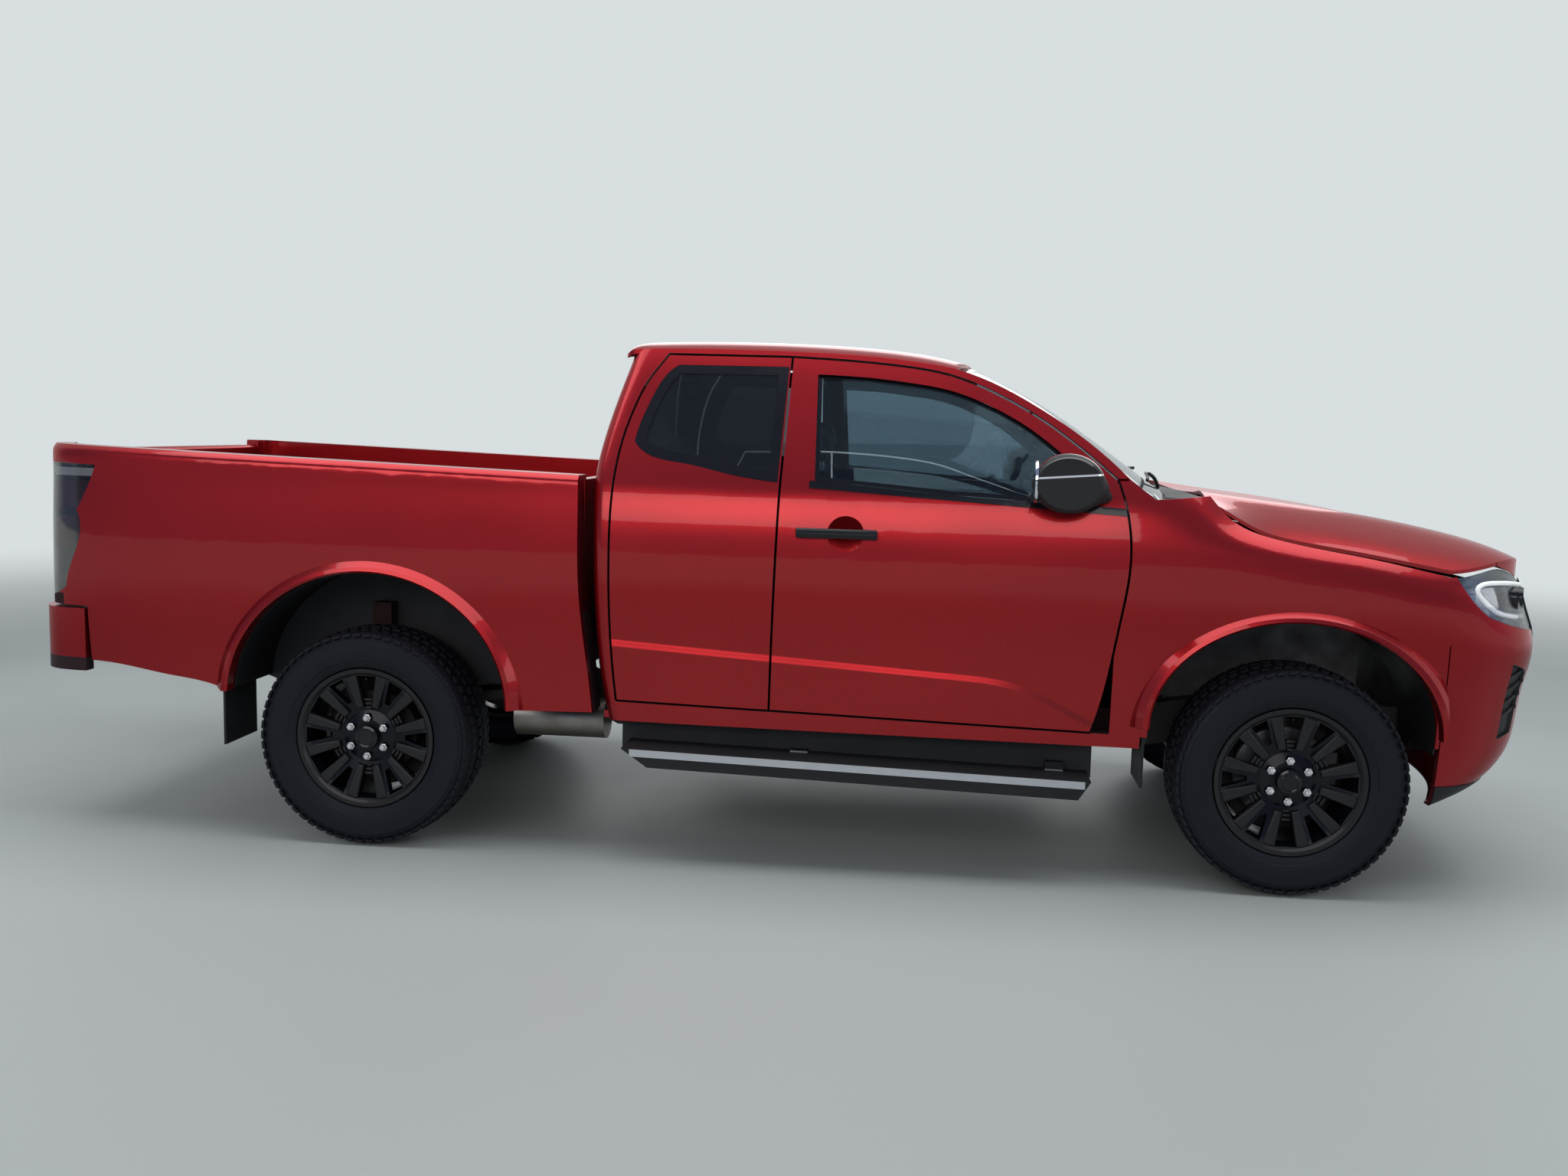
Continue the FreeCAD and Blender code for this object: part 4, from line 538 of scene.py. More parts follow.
def spinCopies(piece, count):
    # round the Y axis
    editAll(piece)
    bpy.ops.mesh.spin(steps=count - 1, angle=2 * math.pi * (count - 1) / count, dupli=True,
                      center=(0, 0, 0), axis=(0, 1, 0))
    leaveEdit()


rightHalf = ((0, 0, 0), (0, 1, 0))  # the cut that keeps the truck's right side


# tyres

axleAt = {"front": 1.735, "rear": -1.390}
wheelHeight = 0.38
halfTrack = 0.785
wheelPlaces = {
    f"wheel_{end}_{side}": (x, y, wheelHeight)
    for end, x in axleAt.items() for side, y in (("right", -halfTrack), ("left", halfTrack))
}
tyre = {
    "pitches": 62,
    "side": [(0.2445, 0.098), (0.250, 0.112), (0.262, 0.1215), (0.271, 0.1235), (0.2745, 0.127),
             (0.284, 0.1292), (0.300, 0.1306), (0.318, 0.131), (0.334, 0.1296), (0.3385, 0.1296),
             (0.3405, 0.1272), (0.350, 0.124), (0.359, 0.1185), (0.3655, 0.110), (0.3695, 0.098),
             (0.3712, 0.07), (0.3718, 0.03)],
    "blocks": [(0.0, 0.030, 0.0275, 10), (0.040, 0.030, 0.0265, -14), (-0.040, 0.030, 0.0265, -14),
               (0.082, 0.036, 0.027, 8), (-0.082, 0.036, 0.027, 8)],  # across, width, length, skew
    "blockFoot": 0.3690, "blockTop": 0.380, "crown": 0.0022, "crownAt": 0.08, "blockLean": 1.1,
    # half length, place across, half width, inner and outer radius, edge
    "sideLugs": [(0.010, 0.112, 0.007, 0.3525, 0.3685, 0.002),
                 (0.0035, 0.1285, 0.0016, 0.306, 0.327, 0.0008)],
}


def makeTyre():
    profile = tyre["side"] + [(r, -w) for r, w in reversed(tyre["side"])] + tyre["side"][:1]
    carcass = turned("tyre", profile, (0, 0, 0), steps=124)
    lugs = []
    for across, width, length, skew in tyre["blocks"]:
        top = tyre["blockTop"] - tyre["crown"] * (across / tyre["crownAt"]) ** 2
        lug = block("lug", (-length / 2, across - width / 2, tyre["blockFoot"]),
                    (length / 2, across + width / 2, top), edge=0.0015, steps=1)
        lug.rotation_euler = (-across * tyre["blockLean"], 0, math.radians(skew))
        applyPlace(lug)
        lugs.append(lug)
    for half, across, wide, inner, outer, edge in tyre["sideLugs"]:
        for middle in (-across, across):
            lugs.append(block("lug", (-half, middle - wide, inner), (half, middle + wide, outer),
                              edge=edge, steps=1))
    tread = joinAll(lugs, "tread")
    spinCopies(tread, tyre["pitches"])
    return joinAll([carcass, tread], "tyreModel")


tyreModel = makeTyre()
for body, at in wheelPlaces.items():
    node = body.replace("wheel", "tyre")
    twin = copyOf(tyreModel, node + "_tread")
    twin.location = at
    applyPlace(twin)
    setPiece(twin, body, "tyre_rubber", angle=28)
    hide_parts(node)
bpy.data.objects.remove(tyreModel)
print("tyres made")


# wheels: spoke ribs, nuts, cap and valve; modelled facing -Y, then copied

wheel = {
    "spokes": 6, "arm": ((-0.012, -0.0865, 0.104), (0.012, -0.066, 0.222)), "armSpread": 1.75,
    "armRise": 0.0125, "armLean": 14.5,
    "steps": {"count": 3, "first": 0.098, "apart": 0.014, "half": 0.010, "widening": 0.0022,
              "front": -0.0775, "rising": 0.002, "back": -0.058, "deep": 0.009},
    "nutCircle": 0.068, "nuts": 6,
    "nut": [(0, -0.1090), (0.0055, -0.1085), (0.0098, -0.1055), (0.0112, -0.1000), (0.0112, -0.0950),
            (0.0140, -0.0940), (0.0140, -0.0900), (0, -0.0900)],
    "capRadius": 0.042,
    "cap": [(0, -0.1042), (0.62, -0.1036), (0.68, -0.1018), (0.78, -0.1032), (0.95, -0.1005), (1, -0.0965),
            (1, -0.072), (0, -0.072)],  # shares of the cap's radius
    "lip": [(0.2335, -0.1118), (0.2368, -0.1124), (0.2405, -0.1118), (0.2415, -0.1085), (0.2365, -0.1060),
            (0.2322, -0.1070), (0.2335, -0.1118)],
    "valveCircle": 0.2060,
    "valve": [(0, -0.095), (0.0032, -0.095), (0.0036, -0.093), (0.0036, -0.078), (0.0055, -0.074),
              (0.0055, -0.066), (0, -0.066)],
}


def makeSpokeRibs():
    ribs = []
    for lean in (-wheel["armLean"], wheel["armLean"]):
        low, high = wheel["arm"]
        rib = block("rib", low, high, edge=0)
        markFaces(rib, lambda centre, normal: normal.z > 0.9)
        bpy.ops.transform.resize(value=(wheel["armSpread"], 1, 1), center_override=(0, 0, high[2]))
        bpy.ops.transform.translate(value=(0, -wheel["armRise"], 0))
        leaveEdit()
        pressFace(rib, (0, -1, 0), 0.004, 0.0035, least=0.5)
        roundEdges(rib, 0.0012, 2)
        rib.rotation_euler = (0, math.radians(lean), 0)
        applyPlace(rib)
        ribs.append(rib)
    steps = wheel["steps"]
    for index in range(steps["count"]):  # the little steps between the two arms of a spoke
        reach = steps["first"] + steps["apart"] * index
        half = steps["half"] + steps["widening"] * index
        ribs.append(block("rib", (-half, steps["front"] - steps["rising"] * index, reach),
                          (half, steps["back"], reach + steps["deep"]), edge=0.0018, steps=2))
    model = joinAll(ribs, "spokeRibs")
    spinCopies(model, wheel["spokes"])
    return model


def makeHubParts():
    nut = turned("nut", wheel["nut"], (0, 0, wheel["nutCircle"]), steps=6)
    spinCopies(nut, wheel["nuts"])
    cap = turned("cap", [(wheel["capRadius"] * r, along) for r, along in wheel["cap"]], (0, 0, 0), steps=64)
    lip = turned("lip", wheel["lip"], (0, 0, 0), steps=96)
    valve = turned("valve", wheel["valve"], (0, 0, wheel["valveCircle"]), steps=16)
    return nut, joinAll([cap, lip, valve], "capAndLip")


spokeRibs = makeSpokeRibs()
nuts, capAndLip = makeHubParts()
wheelParts = [(spokeRibs, "spokes", "rim_black"), (nuts, "nuts", "nutPaintedGlint"),
              (capAndLip, "cap", "gloss_black")]
for body, at in wheelPlaces.items():
    for model, label, finish in wheelParts:
        twin = copyOf(model, body + "_" + label)
        twin.scale = (1, 1 if at[1] < 0 else -1, 1)
        twin.location = at
        applyPlace(twin)
        outwards(twin)
        setPiece(twin, body, finish, angle=30)
for model in (spokeRibs, nuts, capAndLip):
    bpy.data.objects.remove(model)


# brakes: front discs and calipers, and the dust shields of all four wheels

brake = {
    "discAt": -0.753,
    "disc": [(0.088, -0.0132), (0.152, -0.0132), (0.1572, -0.0118), (0.1572, -0.004), (0.150, -0.003),
             (0.150, 0.003), (0.1572, 0.004), (0.1572, 0.0132), (0.088, 0.0132), (0.088, -0.0132)],
    "caliper": ((1.793, -0.7825, 0.328), (1.909, -0.719, 0.464)),
    "shields": [("frontShieldRight", (axleAt["front"], -0.722, wheelHeight), "steered_right"),
                ("rearShieldRight", (axleAt["rear"], -0.712, wheelHeight), "body")],
    "shield": [(0.070, -0.002), (0.150, -0.003), (0.160, -0.009), (0.196, -0.009), (0.1985, -0.014),
               (0.2005, -0.014), (0.2005, -0.004), (0.156, -0.001), (0.150, 0.002), (0.070, 0.002),
               (0.070, -0.002)],
}


def makeBrakes():
    disc = turned("brakeDiscRight", brake["disc"], (axleAt["front"], brake["discAt"], wheelHeight), steps=72)
    caliper = pressedBlock("brakeCaliperRight", brake["caliper"], (0, -1, 0), 0.016, -0.006, 0.006)
    for piece in (disc, caliper):
        setPair(piece, "steered_right", "brakeSteel")
    for name, at, body in brake["shields"]:
        setPair(turned(name, brake["shield"], at, steps=64), body, "frame_black")


makeBrakes()
print("wheels dressed")


# headlamps: lens, bowl, light guide and two projectors

headlamp = {
    "facing": (0.72, -0.68, 0.1), "least": 0.25, "bowlDepth": 0.07,
    "guide": [(2.492, -0.640, 1.030), (2.432, -0.742, 1.042), (2.366, -0.806, 1.048), (2.300, -0.838, 1.046),
              (2.283, -0.842, 1.022), (2.322, -0.826, 0.982), (2.366, -0.800, 0.950), (2.425, -0.745, 0.934),
              (2.486, -0.655, 0.922)],
    "guideRadius": 0.0075,
    "projectors": [(2.432, -0.712, 0.992), (2.475, -0.640, 0.984)], "beam": (0.93, -0.36, 0),
    "shell": [(0.027, 0.030), (0.037, 0.032), (0.039, 0.026), (0.034, -0.03), (0.030, -0.03), (0.028, 0.02),
              (0.027, 0.030)],
    "eye": [(0, 0.031), (0.010, 0.0295), (0.019, 0.024), (0.026, 0.014), (0.027, 0.008), (0, 0.008)],
}


def makeHeadlamp():
    lens = skinOf("headlampLensRight", "headlamps", [rightHalf], headlamp["facing"], thick=0,
                  least=headlamp["least"])
    bowl = copyOf(lens, "headlampBowlRight")
    addStep(lens, "SOLIDIFY", thickness=0.003, offset=-1)
    towards = Vector(headlamp["facing"]).normalized()
    addStep(bowl, "SOLIDIFY", thickness=headlamp["bowlDepth"], offset=-1)
    dropFaces(bowl, lambda centre, normal: normal.dot(towards) > headlamp["least"])
    addStep(bowl, "SOLIDIFY", thickness=0.002, offset=-1)
    guide = tube("headlampGuideRight", headlamp["guide"], headlamp["guideRadius"], resolution=4)
    shells = [turned("shell", headlamp["shell"], at, steps=40, axis=headlamp["beam"])
              for at in headlamp["projectors"]]
    eyes = [turned("eye", headlamp["eye"], at, steps=40, axis=headlamp["beam"])
            for at in headlamp["projectors"]]
    for piece, finish in ((lens, "lamp_lens"), (bowl, "reflector"), (guide, "lightGuide"),
                          (joinAll(shells, "headlampShellsRight"), "gloss_black"),
                          (joinAll(eyes, "headlampEyesRight"), "reflector")):
        setPair(piece, "body", finish)
    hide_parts("headlamps")


makeHeadlamp()
print("headlamps made")


# tail lamps: smoked lens over a dark bowl with red and white bands

tailLamp = {
    "facing": (-0.5, -0.85, 0), "least": 0.2, "bowlDepth": 0.014, "bandDepth": 0.009,
    "bands": [("Top", 1.262, 1.290, "lightGuide"), ("Upper", 1.150, 1.245, "redLamp"),
              ("Lower", 1.010, 1.120, "redLamp")],
}


def tailLampSkin(name, depth=0.0, cuts=()):
    skin = skinOf(name, "tail_lamps", [rightHalf, *cuts], tailLamp["facing"], thick=0,
                  least=tailLamp["least"])
    if depth:
        editAll(skin)
        bpy.ops.transform.shrink_fatten(value=-depth)
        leaveEdit()
    return skin


def makeTailLamp():
    lens = tailLampSkin("tailLampLensRight")
    bowl = tailLampSkin("tailLampBowlRight", tailLamp["bowlDepth"])
    addStep(lens, "SOLIDIFY", thickness=0.003, offset=-1)
    addStep(bowl, "SOLIDIFY", thickness=0.004, offset=-1)
    made = [(lens, "smoked_lens"), (bowl, "gloss_black")]
    for label, low, high, finish in tailLamp["bands"]:
        band = tailLampSkin("tailLamp" + label + "BandRight", tailLamp["bandDepth"],
                            [((0, 0, low), (0, 0, -1)), ((0, 0, high), (0, 0, 1))])
        addStep(band, "SOLIDIFY", thickness=0.004, offset=-1)
        made.append((band, finish))
    for piece, finish in made:
        setPair(piece, "body", finish)
    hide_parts("tail_lamps")


makeTailLamp()
print("tail lamps made")


# mirrors: the glass on the back of each shell

mirror = {"at": (0.868, -0.988, 1.338), "halfWide": 0.052, "halfHigh": 0.068,
          "glass": [(0, 0.006), (0.7, 0.006), (0.96, 0.005), (1.0, 0.0), (1.0, -0.004), (0, -0.004)]}


def makeMirrorGlass():
    glass = turned("mirrorGlassRight", mirror["glass"], (0, 0, 0), steps=48, axis=(-1, 0, 0))
    glass.scale = (1, mirror["halfWide"], mirror["halfHigh"])
    glass.location = mirror["at"]
    applyPlace(glass)
    outwards(glass)
    setPair(glass, "door_front_right", "mirrorGlass")


makeMirrorGlass()
print("mirrors dressed")


# door handles: a bar on two feet

doorHandle = {"bar": ((0.0985, -0.9255, 1.1295), (0.3675, -0.9065, 1.1625)),
              "feetAt": (0.026, -0.028), "footHalf": 0.022, "footReach": (-0.912, -0.888), "footInset": 0.004}


def makeDoorHandle():
    low, high = doorHandle["bar"]
    outer, inner = doorHandle["footReach"]
    half, inset = doorHandle["footHalf"], doorHandle["footInset"]
    parts = [pressedBlock("doorHandleRight", (low, high), (0, -1, 0), 0.007, 0.0015, 0.005)]
    for middle in (low[0] + doorHandle["feetAt"][0], high[0] + doorHandle["feetAt"][1]):
        parts.append(block("foot", (middle - half, outer, low[2] + inset),
                           (middle + half, inner, high[2] - inset), edge=0.004))
    setPair(joinAll(parts, "doorHandleRight"), "door_front_right", "gloss_black")


makeDoorHandle()
print("door handles made")


# mouldings that follow the panels

moulding = {
    "beltCuts": [((0.152, 0, 1.314), (0.0593, 0, 1)), ((0.152, 0, 1.290), (-0.0593, 0, -1)),
                 ((0.135, 0, 0), (-1, 0, 0))],
    "boardCuts": [((-0.47, 0, 0.4075), (0.0244, 0, 1)), ((-0.47, 0, 0.3795), (-0.0244, 0, -1)),
                  rightHalf, ((1.07, 0, 0), (1, 0, 0)), ((-0.44, 0, 0), (-1, 0, 0))],
    "lipCuts": [((0, 0, 0.372), (0, 0, 1))],
}


def makeMouldings():
    belt = skinOf("beltMouldingRight", "front_door_right", moulding["beltCuts"], (0, -1, 0.15), thick=0.005)
    strip = skinOf("boardStripRight", "running_boards", moulding["boardCuts"], (0, -1, 0), thick=0.004,
                   least=0.5)
    setPair(belt, "door_front_right", "gloss_black")
    setPair(strip, "body", "boardStrip")
    lip = skinOf("bumperLip", "front_bumper", moulding["lipCuts"], (1, 0, -0.3), thick=0.004, least=-0.15)
    setPiece(lip, "body", "dark_plastic")


vent = {
    "corners": [(-0.784, 0.782), (-0.700, 0.752), (-0.690, 0.540), (-0.762, 0.528)],  # y and z
    "facing": (0.8, -0.6, 0), "fins": [0.590, 0.634, 0.678, 0.722], "finHalf": 0.006, "finDepth": 0.010,
}


def makeBumperVent():
    # the sloping pocket at each end of the bumper: a black floor with fins across it
    corners = vent["corners"]
    cuts = [((0, y0, z0), (0, z0 - z1, y1 - y0))
            for (y0, z0), (y1, z1) in zip(corners, corners[1:] + corners[:1])]
    backing = skinOf("ventRight", "front_bumper", cuts, vent["facing"], thick=0.003, least=-0.2)
    setPair(backing, "body", "dark_plastic")
    fins = []
    for z in vent["fins"]:
        edges = [((0, 0, z - vent["finHalf"]), (0.1, 0.3, -1)),
                 ((0, 0, z + vent["finHalf"]), (-0.1, -0.3, 1))]
        fins.append(skinOf("fin", "front_bumper", cuts + edges, vent["facing"], thick=vent["finDepth"],
                           least=0.2, offset=1))
    setPair(joinAll(fins, "ventFinsRight"), "body", "dark_plastic")


# the box of the black sheet that paints the shade under the sill, and how far its front edge drops
sillShadeSheet = {"box": ((-0.500, -0.800, 0.372), (1.105, -0.792, 0.545)), "frontDrop": 0.030}


def makeSillShadeSheet():
    # a black sheet between the sill and the running board: painted shade, put where the underside of the sill
    # lies in shadow
    guard = block("sillGuardRight", *sillShadeSheet["box"], edge=0)
    markFaces(guard, lambda centre, normal: normal.x > 0.9)
    bpy.ops.transform.translate(value=(0, 0, -sillShadeSheet["frontDrop"]))
    leaveEdit()
    pressFace(guard, (0, -1, 0), 0.012, -0.003)
    roundEdges(guard, 0.0015, 2)
    setPair(guard, "body", "dark_plastic")


makeMouldings()
makeBumperVent()
makeSillShadeSheet()
print("mouldings made")


# rear wheel-arch liners and the dampers beside the springs

rearArch = {"middle": -1.381, "height": 0.505, "reach": 0.4955, "rise": 0.4545, "inner": 0.582,
            "outer": 0.870, "foot": 0.535}


def makeArchLiner():
    clearSelection()
    bpy.ops.mesh.primitive_cylinder_add(vertices=96, radius=1, depth=rearArch["outer"] - rearArch["inner"],
                                        end_fill_type="NGON")
    liner = bpy.context.object
    liner.name = "rearLinerRight"
    liner.rotation_euler = (math.radians(90), 0, 0)
    liner.scale = (rearArch["reach"], rearArch["rise"], 1)
    liner.location = (rearArch["middle"], -(rearArch["outer"] + rearArch["inner"]) / 2, rearArch["height"])
    applyPlace(liner)
    dropFaces(liner, lambda centre, normal: normal.y < -0.9)
    cutAway(liner, [((0, 0, rearArch["foot"]), (0, 0, -1))])
    addStep(liner, "SOLIDIFY", thickness=0.003, offset=-1)
    setPair(liner, "body", "dark_plastic")


damper = {"low": (-1.475, -0.548, 0.405), "high": (-1.640, -0.452, 0.690),
          "profile": [(0, 0), (0.012, 0.0), (0.012, 0.14), (0.020, 0.145), (0.026, 0.15), (0.026, 0.33),
                      (0.012, 0.335)]}


def makeDamper():
    line = Vector(damper["high"]) - Vector(damper["low"])
    profile = damper["profile"] + [(damper["profile"][-1][0], line.length), (0, line.length)]
    setPair(turned("damperRight", profile, damper["low"], steps=32, axis=line), "body", "frame_black")


makeArchLiner()
makeDamper()
print("rear arches lined")


# wipers on the windscreen: where the blade starts and ends, and the arm's pivot

wipers = {
    "wiperRight": ((1.262, -0.660, 1.342), (1.335, -0.120, 1.352), (1.372, -0.180, 1.302)),
    "wiperLeft": ((1.318, 0.100, 1.366), (1.262, 0.640, 1.346), (1.345, 0.620, 1.296)),
}


def makeWiper(name, start, end, pivot):
    blade = tube(name + "Blade", [start, between(start, end, (0.006, 0, 0.004)), end], 0.006)
    grip = between(start, end, (0.008, 0, 0.010))
    arm = tube(name + "Arm", [pivot, between(pivot, grip, (0.01, 0, 0.012)), grip], 0.0065)
    setPiece(joinAll([blade, arm], name), "body", "dark_plastic")


for name, points in wipers.items():
    makeWiper(name, *points)
print("wipers made")


# black borders on the glass, by an inset of each pane's own outer face

borders = {  # node, facing, width and body
    "frontGlassBorderRight": ("front_door_glass_right", (0, -1, 0.3), 0.014, "door_front_right"),
    "quarterGlassBorderRight": ("quarter_glass_right", (0, -1, 0.3), 0.034, "door_rear_right"),
    "rearWindowBorder": ("rear_window", (-1, 0, 0.2), 0.030, "body"),
    "windscreenBorder": ("windscreen", (0.5, 0, 0.85), 0.032, "body"),
}


def makeBorder(name, node, facing, wide, body):
    ring = skinOf(name, node, [], facing, thick=0, least=0.5)
    editAll(ring)
    bpy.ops.mesh.dissolve_limited(angle_limit=math.radians(4))
    bpy.ops.mesh.select_all(action="SELECT")
    bpy.ops.mesh.inset(thickness=wide, depth=0)
    bpy.ops.mesh.delete(type="FACE")
    leaveEdit()
    addStep(ring, "SOLIDIFY", thickness=0.002, offset=1)
    dress = setPair if name.endswith("Right") else setPiece
    dress(ring, body, "gloss_black")


for name, border in borders.items():
    makeBorder(name, *border)
print("glass borders made")


# the edge that closes the space between the bonnet, the lamps and the grille

bonnetLip = {"from": 2.205, "drop": 0.06, "top": 1.102, "steepest": 0.15,
             "cuts": [((0, 0, 1.052), (0, 0, -1)), ((0, -0.600, 1.052), (0, -0.333, -1)),
                      ((0, 0.600, 1.052), (0, 0.333, -1))]}


def makeBonnetLip():
    lip = skinOf("bonnetLip", "bonnet", [((bonnetLip["from"], 0, 0), (-1, 0, 0))], (0.6, 0, 0.8), thick=0,
                 least=0.0)
    editAll(lip)
    bpy.ops.mesh.select_mode(type="EDGE")
    bpy.ops.mesh.select_all(action="DESELECT")
    bpy.ops.mesh.select_non_manifold(extend=False, use_wire=False, use_boundary=True, use_multi_face=False,
                                     use_non_contiguous=False, use_verts=False)
    bpy.ops.mesh.extrude_region_move(TRANSFORM_OT_translate={"value": (0, 0, -bonnetLip["drop"])})
    leaveEdit()
    rear = bonnetLip["from"] + 0.010
    dropFaces(lip, lambda centre, normal: abs(normal.z) > bonnetLip["steepest"] or centre.x < rear
              or centre.z > bonnetLip["top"])
    cutAway(lip, bonnetLip["cuts"])
    addStep(lip, "SOLIDIFY", thickness=0.003, offset=0)
    setPiece(lip, "hood", "body_paint")


makeBonnetLip()
print("bonnet edge made")


# rear: tailgate handle, high stop lamp, ribs of the step pad

rear = {
    "handle": ((-2.6045, -0.085, 1.200), (-2.596, 0.085, 1.248)),
    "lampCuts": [((0, 0, 1.718), (0, 0, 1)), ((0, 0, 1.700), (0, 0, -1)), ((0, 0.110, 0), (0, 1, 0)),
                 ((0, -0.110, 0), (0, -1, 0)), ((-0.3, 0, 0), (1, 0, 0))],
    "lampProud": 0.008,
    "rib": ((-2.600, -0.62, 0.7965), (-2.430, -0.613, 0.8005)), "ribs": 6, "ribsApart": 0.035,
}


def makeRearDetails():
    handle = pressedBlock("tailgateHandle", rear["handle"], (-1, 0, 0), 0.008, 0.0018, 0.003)
    setPiece(handle, "gate", "gloss_black")
    lamp = skinOf("stopLampHigh", "cab_shell", rear["lampCuts"], (-1, 0, 0), thick=rear["lampProud"],
                  offset=1)
    setPiece(lamp, "body", "redLamp")
    ribs = []
    for index in range(rear["ribs"]):
        shift = Vector((0, rear["ribsApart"] * index, 0))
        low, high = (Vector(corner) + shift for corner in rear["rib"])
        ribs.append(block("rib", low, high, edge=0.0015))
    setPair(joinAll(ribs, "stepRibsRight"), "body", "dark_plastic")


makeRearDetails()
print("rear details made")


# seats: padded panels that swell a little, with valleys for seams; a panel is low, high and edge

seats = {
    "voxel": 0.009, "pressure": 4.0, "frames": 20, "cap": 0.009,
    "frontCushion": [((0.170, -0.505, 0.735), (0.668, -0.225, 0.842), 0.030),
                     ((0.160, -0.612, 0.715), (0.640, -0.497, 0.858), 0.036),
                     ((0.160, -0.233, 0.715), (0.640, -0.118, 0.858), 0.036)],
    "frontBack": [((0.090, -0.492, 0.800), (0.178, -0.238, 1.325), 0.030),
                  ((0.085, -0.600, 0.800), (0.202, -0.484, 1.270), 0.038),
                  ((0.085, -0.246, 0.800), (0.202, -0.130, 1.270), 0.038)],
    "frontRest": [((0.040, -0.480, 1.352), (0.128, -0.250, 1.512), 0.036)],
    "rearCushion": [((-0.495, -0.612, 0.690), (-0.188, -0.188, 0.772), 0.030)],
    "rearBack": [((-0.512, -0.612, 0.785), (-0.440, -0.188, 1.245), 0.028)],
    "lean": (0.130, 0.800, -5.5),  # x and z of the pivot, and degrees
}
seatFrame = {
    "base": ((0.210, -0.560, 0.576), (0.610, -0.170, 0.735)), "baseFlare": (1.12, 1.08, 1),
    "shell": ((0.066, -0.590, 0.790), (0.110, -0.140, 1.290)),
    "lever": ((0.200, -0.632, 0.735), (0.290, -0.616, 0.758)),
    "rodsAt": [(0.082, -0.395, 1.290), (0.082, -0.335, 1.290)],
    "rod": [(0, 0), (0.0065, 0), (0.0065, 0.10), (0, 0.10)],
    "rearBase": ((-0.500, -0.600, 0.576), (-0.205, -0.200, 0.700)),
    "rearShell": ((-0.518, -0.606, 0.780), (-0.500, -0.194, 1.235)),
}


def makePad(name, panels, lean=None):
    pads = []
    for low, high, edge in panels:
        pad = block("pad", low, high, edge=edge, steps=4)
        addStep(pad, "REMESH", mode="VOXEL", voxel_size=seats["voxel"])
        pads.append(pad)
    pad = joinAll(pads, name)
    swell(pad)
    addStep(pad, "SUBSURF", levels=1, render_levels=1)
    if lean:
        x, z, degrees = lean
        pivot = Matrix.Translation((x, 0, z))
        pad.matrix_world = pivot @ Matrix.Rotation(math.radians(degrees), 4, "Y") @ pivot.inverted()
        applyPlace(pad)
    twin = setPair(pad, "body", "seat_cloth", angle=60)
    return pad


def swell(pad):
    # a short cloth run under pressure; no point moves further than the cap
    pick(pad)
    starts = [vertex.co.copy() for vertex in pad.data.vertices]
    cloth = pad.modifiers.new("Cloth", "CLOTH")
    cloth.settings.use_pressure = True
    cloth.settings.uniform_pressure_force = seats["pressure"]
    cloth.settings.effector_weights.gravity = 0
    cloth.point_cache.frame_start = 1
    cloth.point_cache.frame_end = seats["frames"]
    for number in range(1, seats["frames"] + 1):
        bpy.context.scene.frame_set(number)
    bpy.ops.object.modifier_apply(modifier=cloth.name)
    bpy.context.scene.frame_set(1)
    for vertex, start in zip(pad.data.vertices, starts):
        move = vertex.co - start
        if move.length > seats["cap"]:
            vertex.co = start + move * (seats["cap"] / move.length)


def makeSeatFrames():
    low, high = seatFrame["base"]
    base = block("frontSeatBaseRight", low, high, edge=0)
    markFaces(base, lambda centre, normal: normal.z > 0.9)
    bpy.ops.transform.resize(value=seatFrame["baseFlare"],
                             center_override=((low[0] + high[0]) / 2, (low[1] + high[1]) / 2, high[2]))
    leaveEdit()
    roundEdges(base, 0.015, 3)
    shell = block("frontSeatShellRight", *seatFrame["shell"], edge=0.018, steps=3)
    lever = block("lever", *seatFrame["lever"], edge=0.005)
    rods = [turned("rod", seatFrame["rod"], at, steps=20, axis=(0, 0, 1)) for at in seatFrame["rodsAt"]]
    rearBase = block("rearSeatBaseRight", *seatFrame["rearBase"], edge=0.012, steps=3)
    rearShell = block("shell", *seatFrame["rearShell"], edge=0.006)
    setPair(joinAll([base, shell, lever], "frontSeatFrameRight"), "body", "trim_plastic")
    setPair(joinAll(rods, "restRodsRight"), "body", "brightTrim")
    setPair(joinAll([rearBase, rearShell], "rearSeatFrameRight"), "body", "trim_plastic")


makeSeatFrames()
frontCushion = makePad("frontCushionRight", seats["frontCushion"])
makePad("frontBackRight", seats["frontBack"], seats["lean"])
makePad("frontRestRight", seats["frontRest"])
rearCushion = makePad("rearCushionRight", seats["rearCushion"])
makePad("rearBackRight", seats["rearBack"])
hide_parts("front_seats")
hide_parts("rear_seats")
print("seats made")


# dashboard fittings: vents, instrument hood, centre stack, glove box, screens and knobs

dash = {
    "vents": [(-0.655, 1.055), (-0.225, 1.055), (0.225, 1.055), (0.655, 1.055)],  # y and z
    "ventHalf": (0.062, 0.032), "ventReach": (0.896, 0.930),
    "slatHalf": 0.054, "slatReach": (0.898, 0.910), "slatLifts": (-0.016, -0.003, 0.010), "slatThick": 0.003,
    "hood": ((0.930, 0.190, 1.120), (1.070, 0.540, 1.245)),
    "stack": ((0.870, -0.125, 0.720), (0.965, 0.125, 1.010)),
    "glove": ((0.905, -0.560, 0.800), (0.925, -0.180, 0.970)),
    "screen": ((0.880, -0.130, 1.035), (0.900, 0.130, 1.200)),
    "cluster": ((0.968, 0.215, 1.140), (0.975, 0.515, 1.225)),
    "knobsAt": [(0.864, -0.075, 0.900), (0.864, 0.0, 0.900), (0.864, 0.075, 0.900)],
    "knob": [(0, -0.020), (0.014, -0.019), (0.017, -0.016), (0.018, 0.012), (0, 0.012)],
}


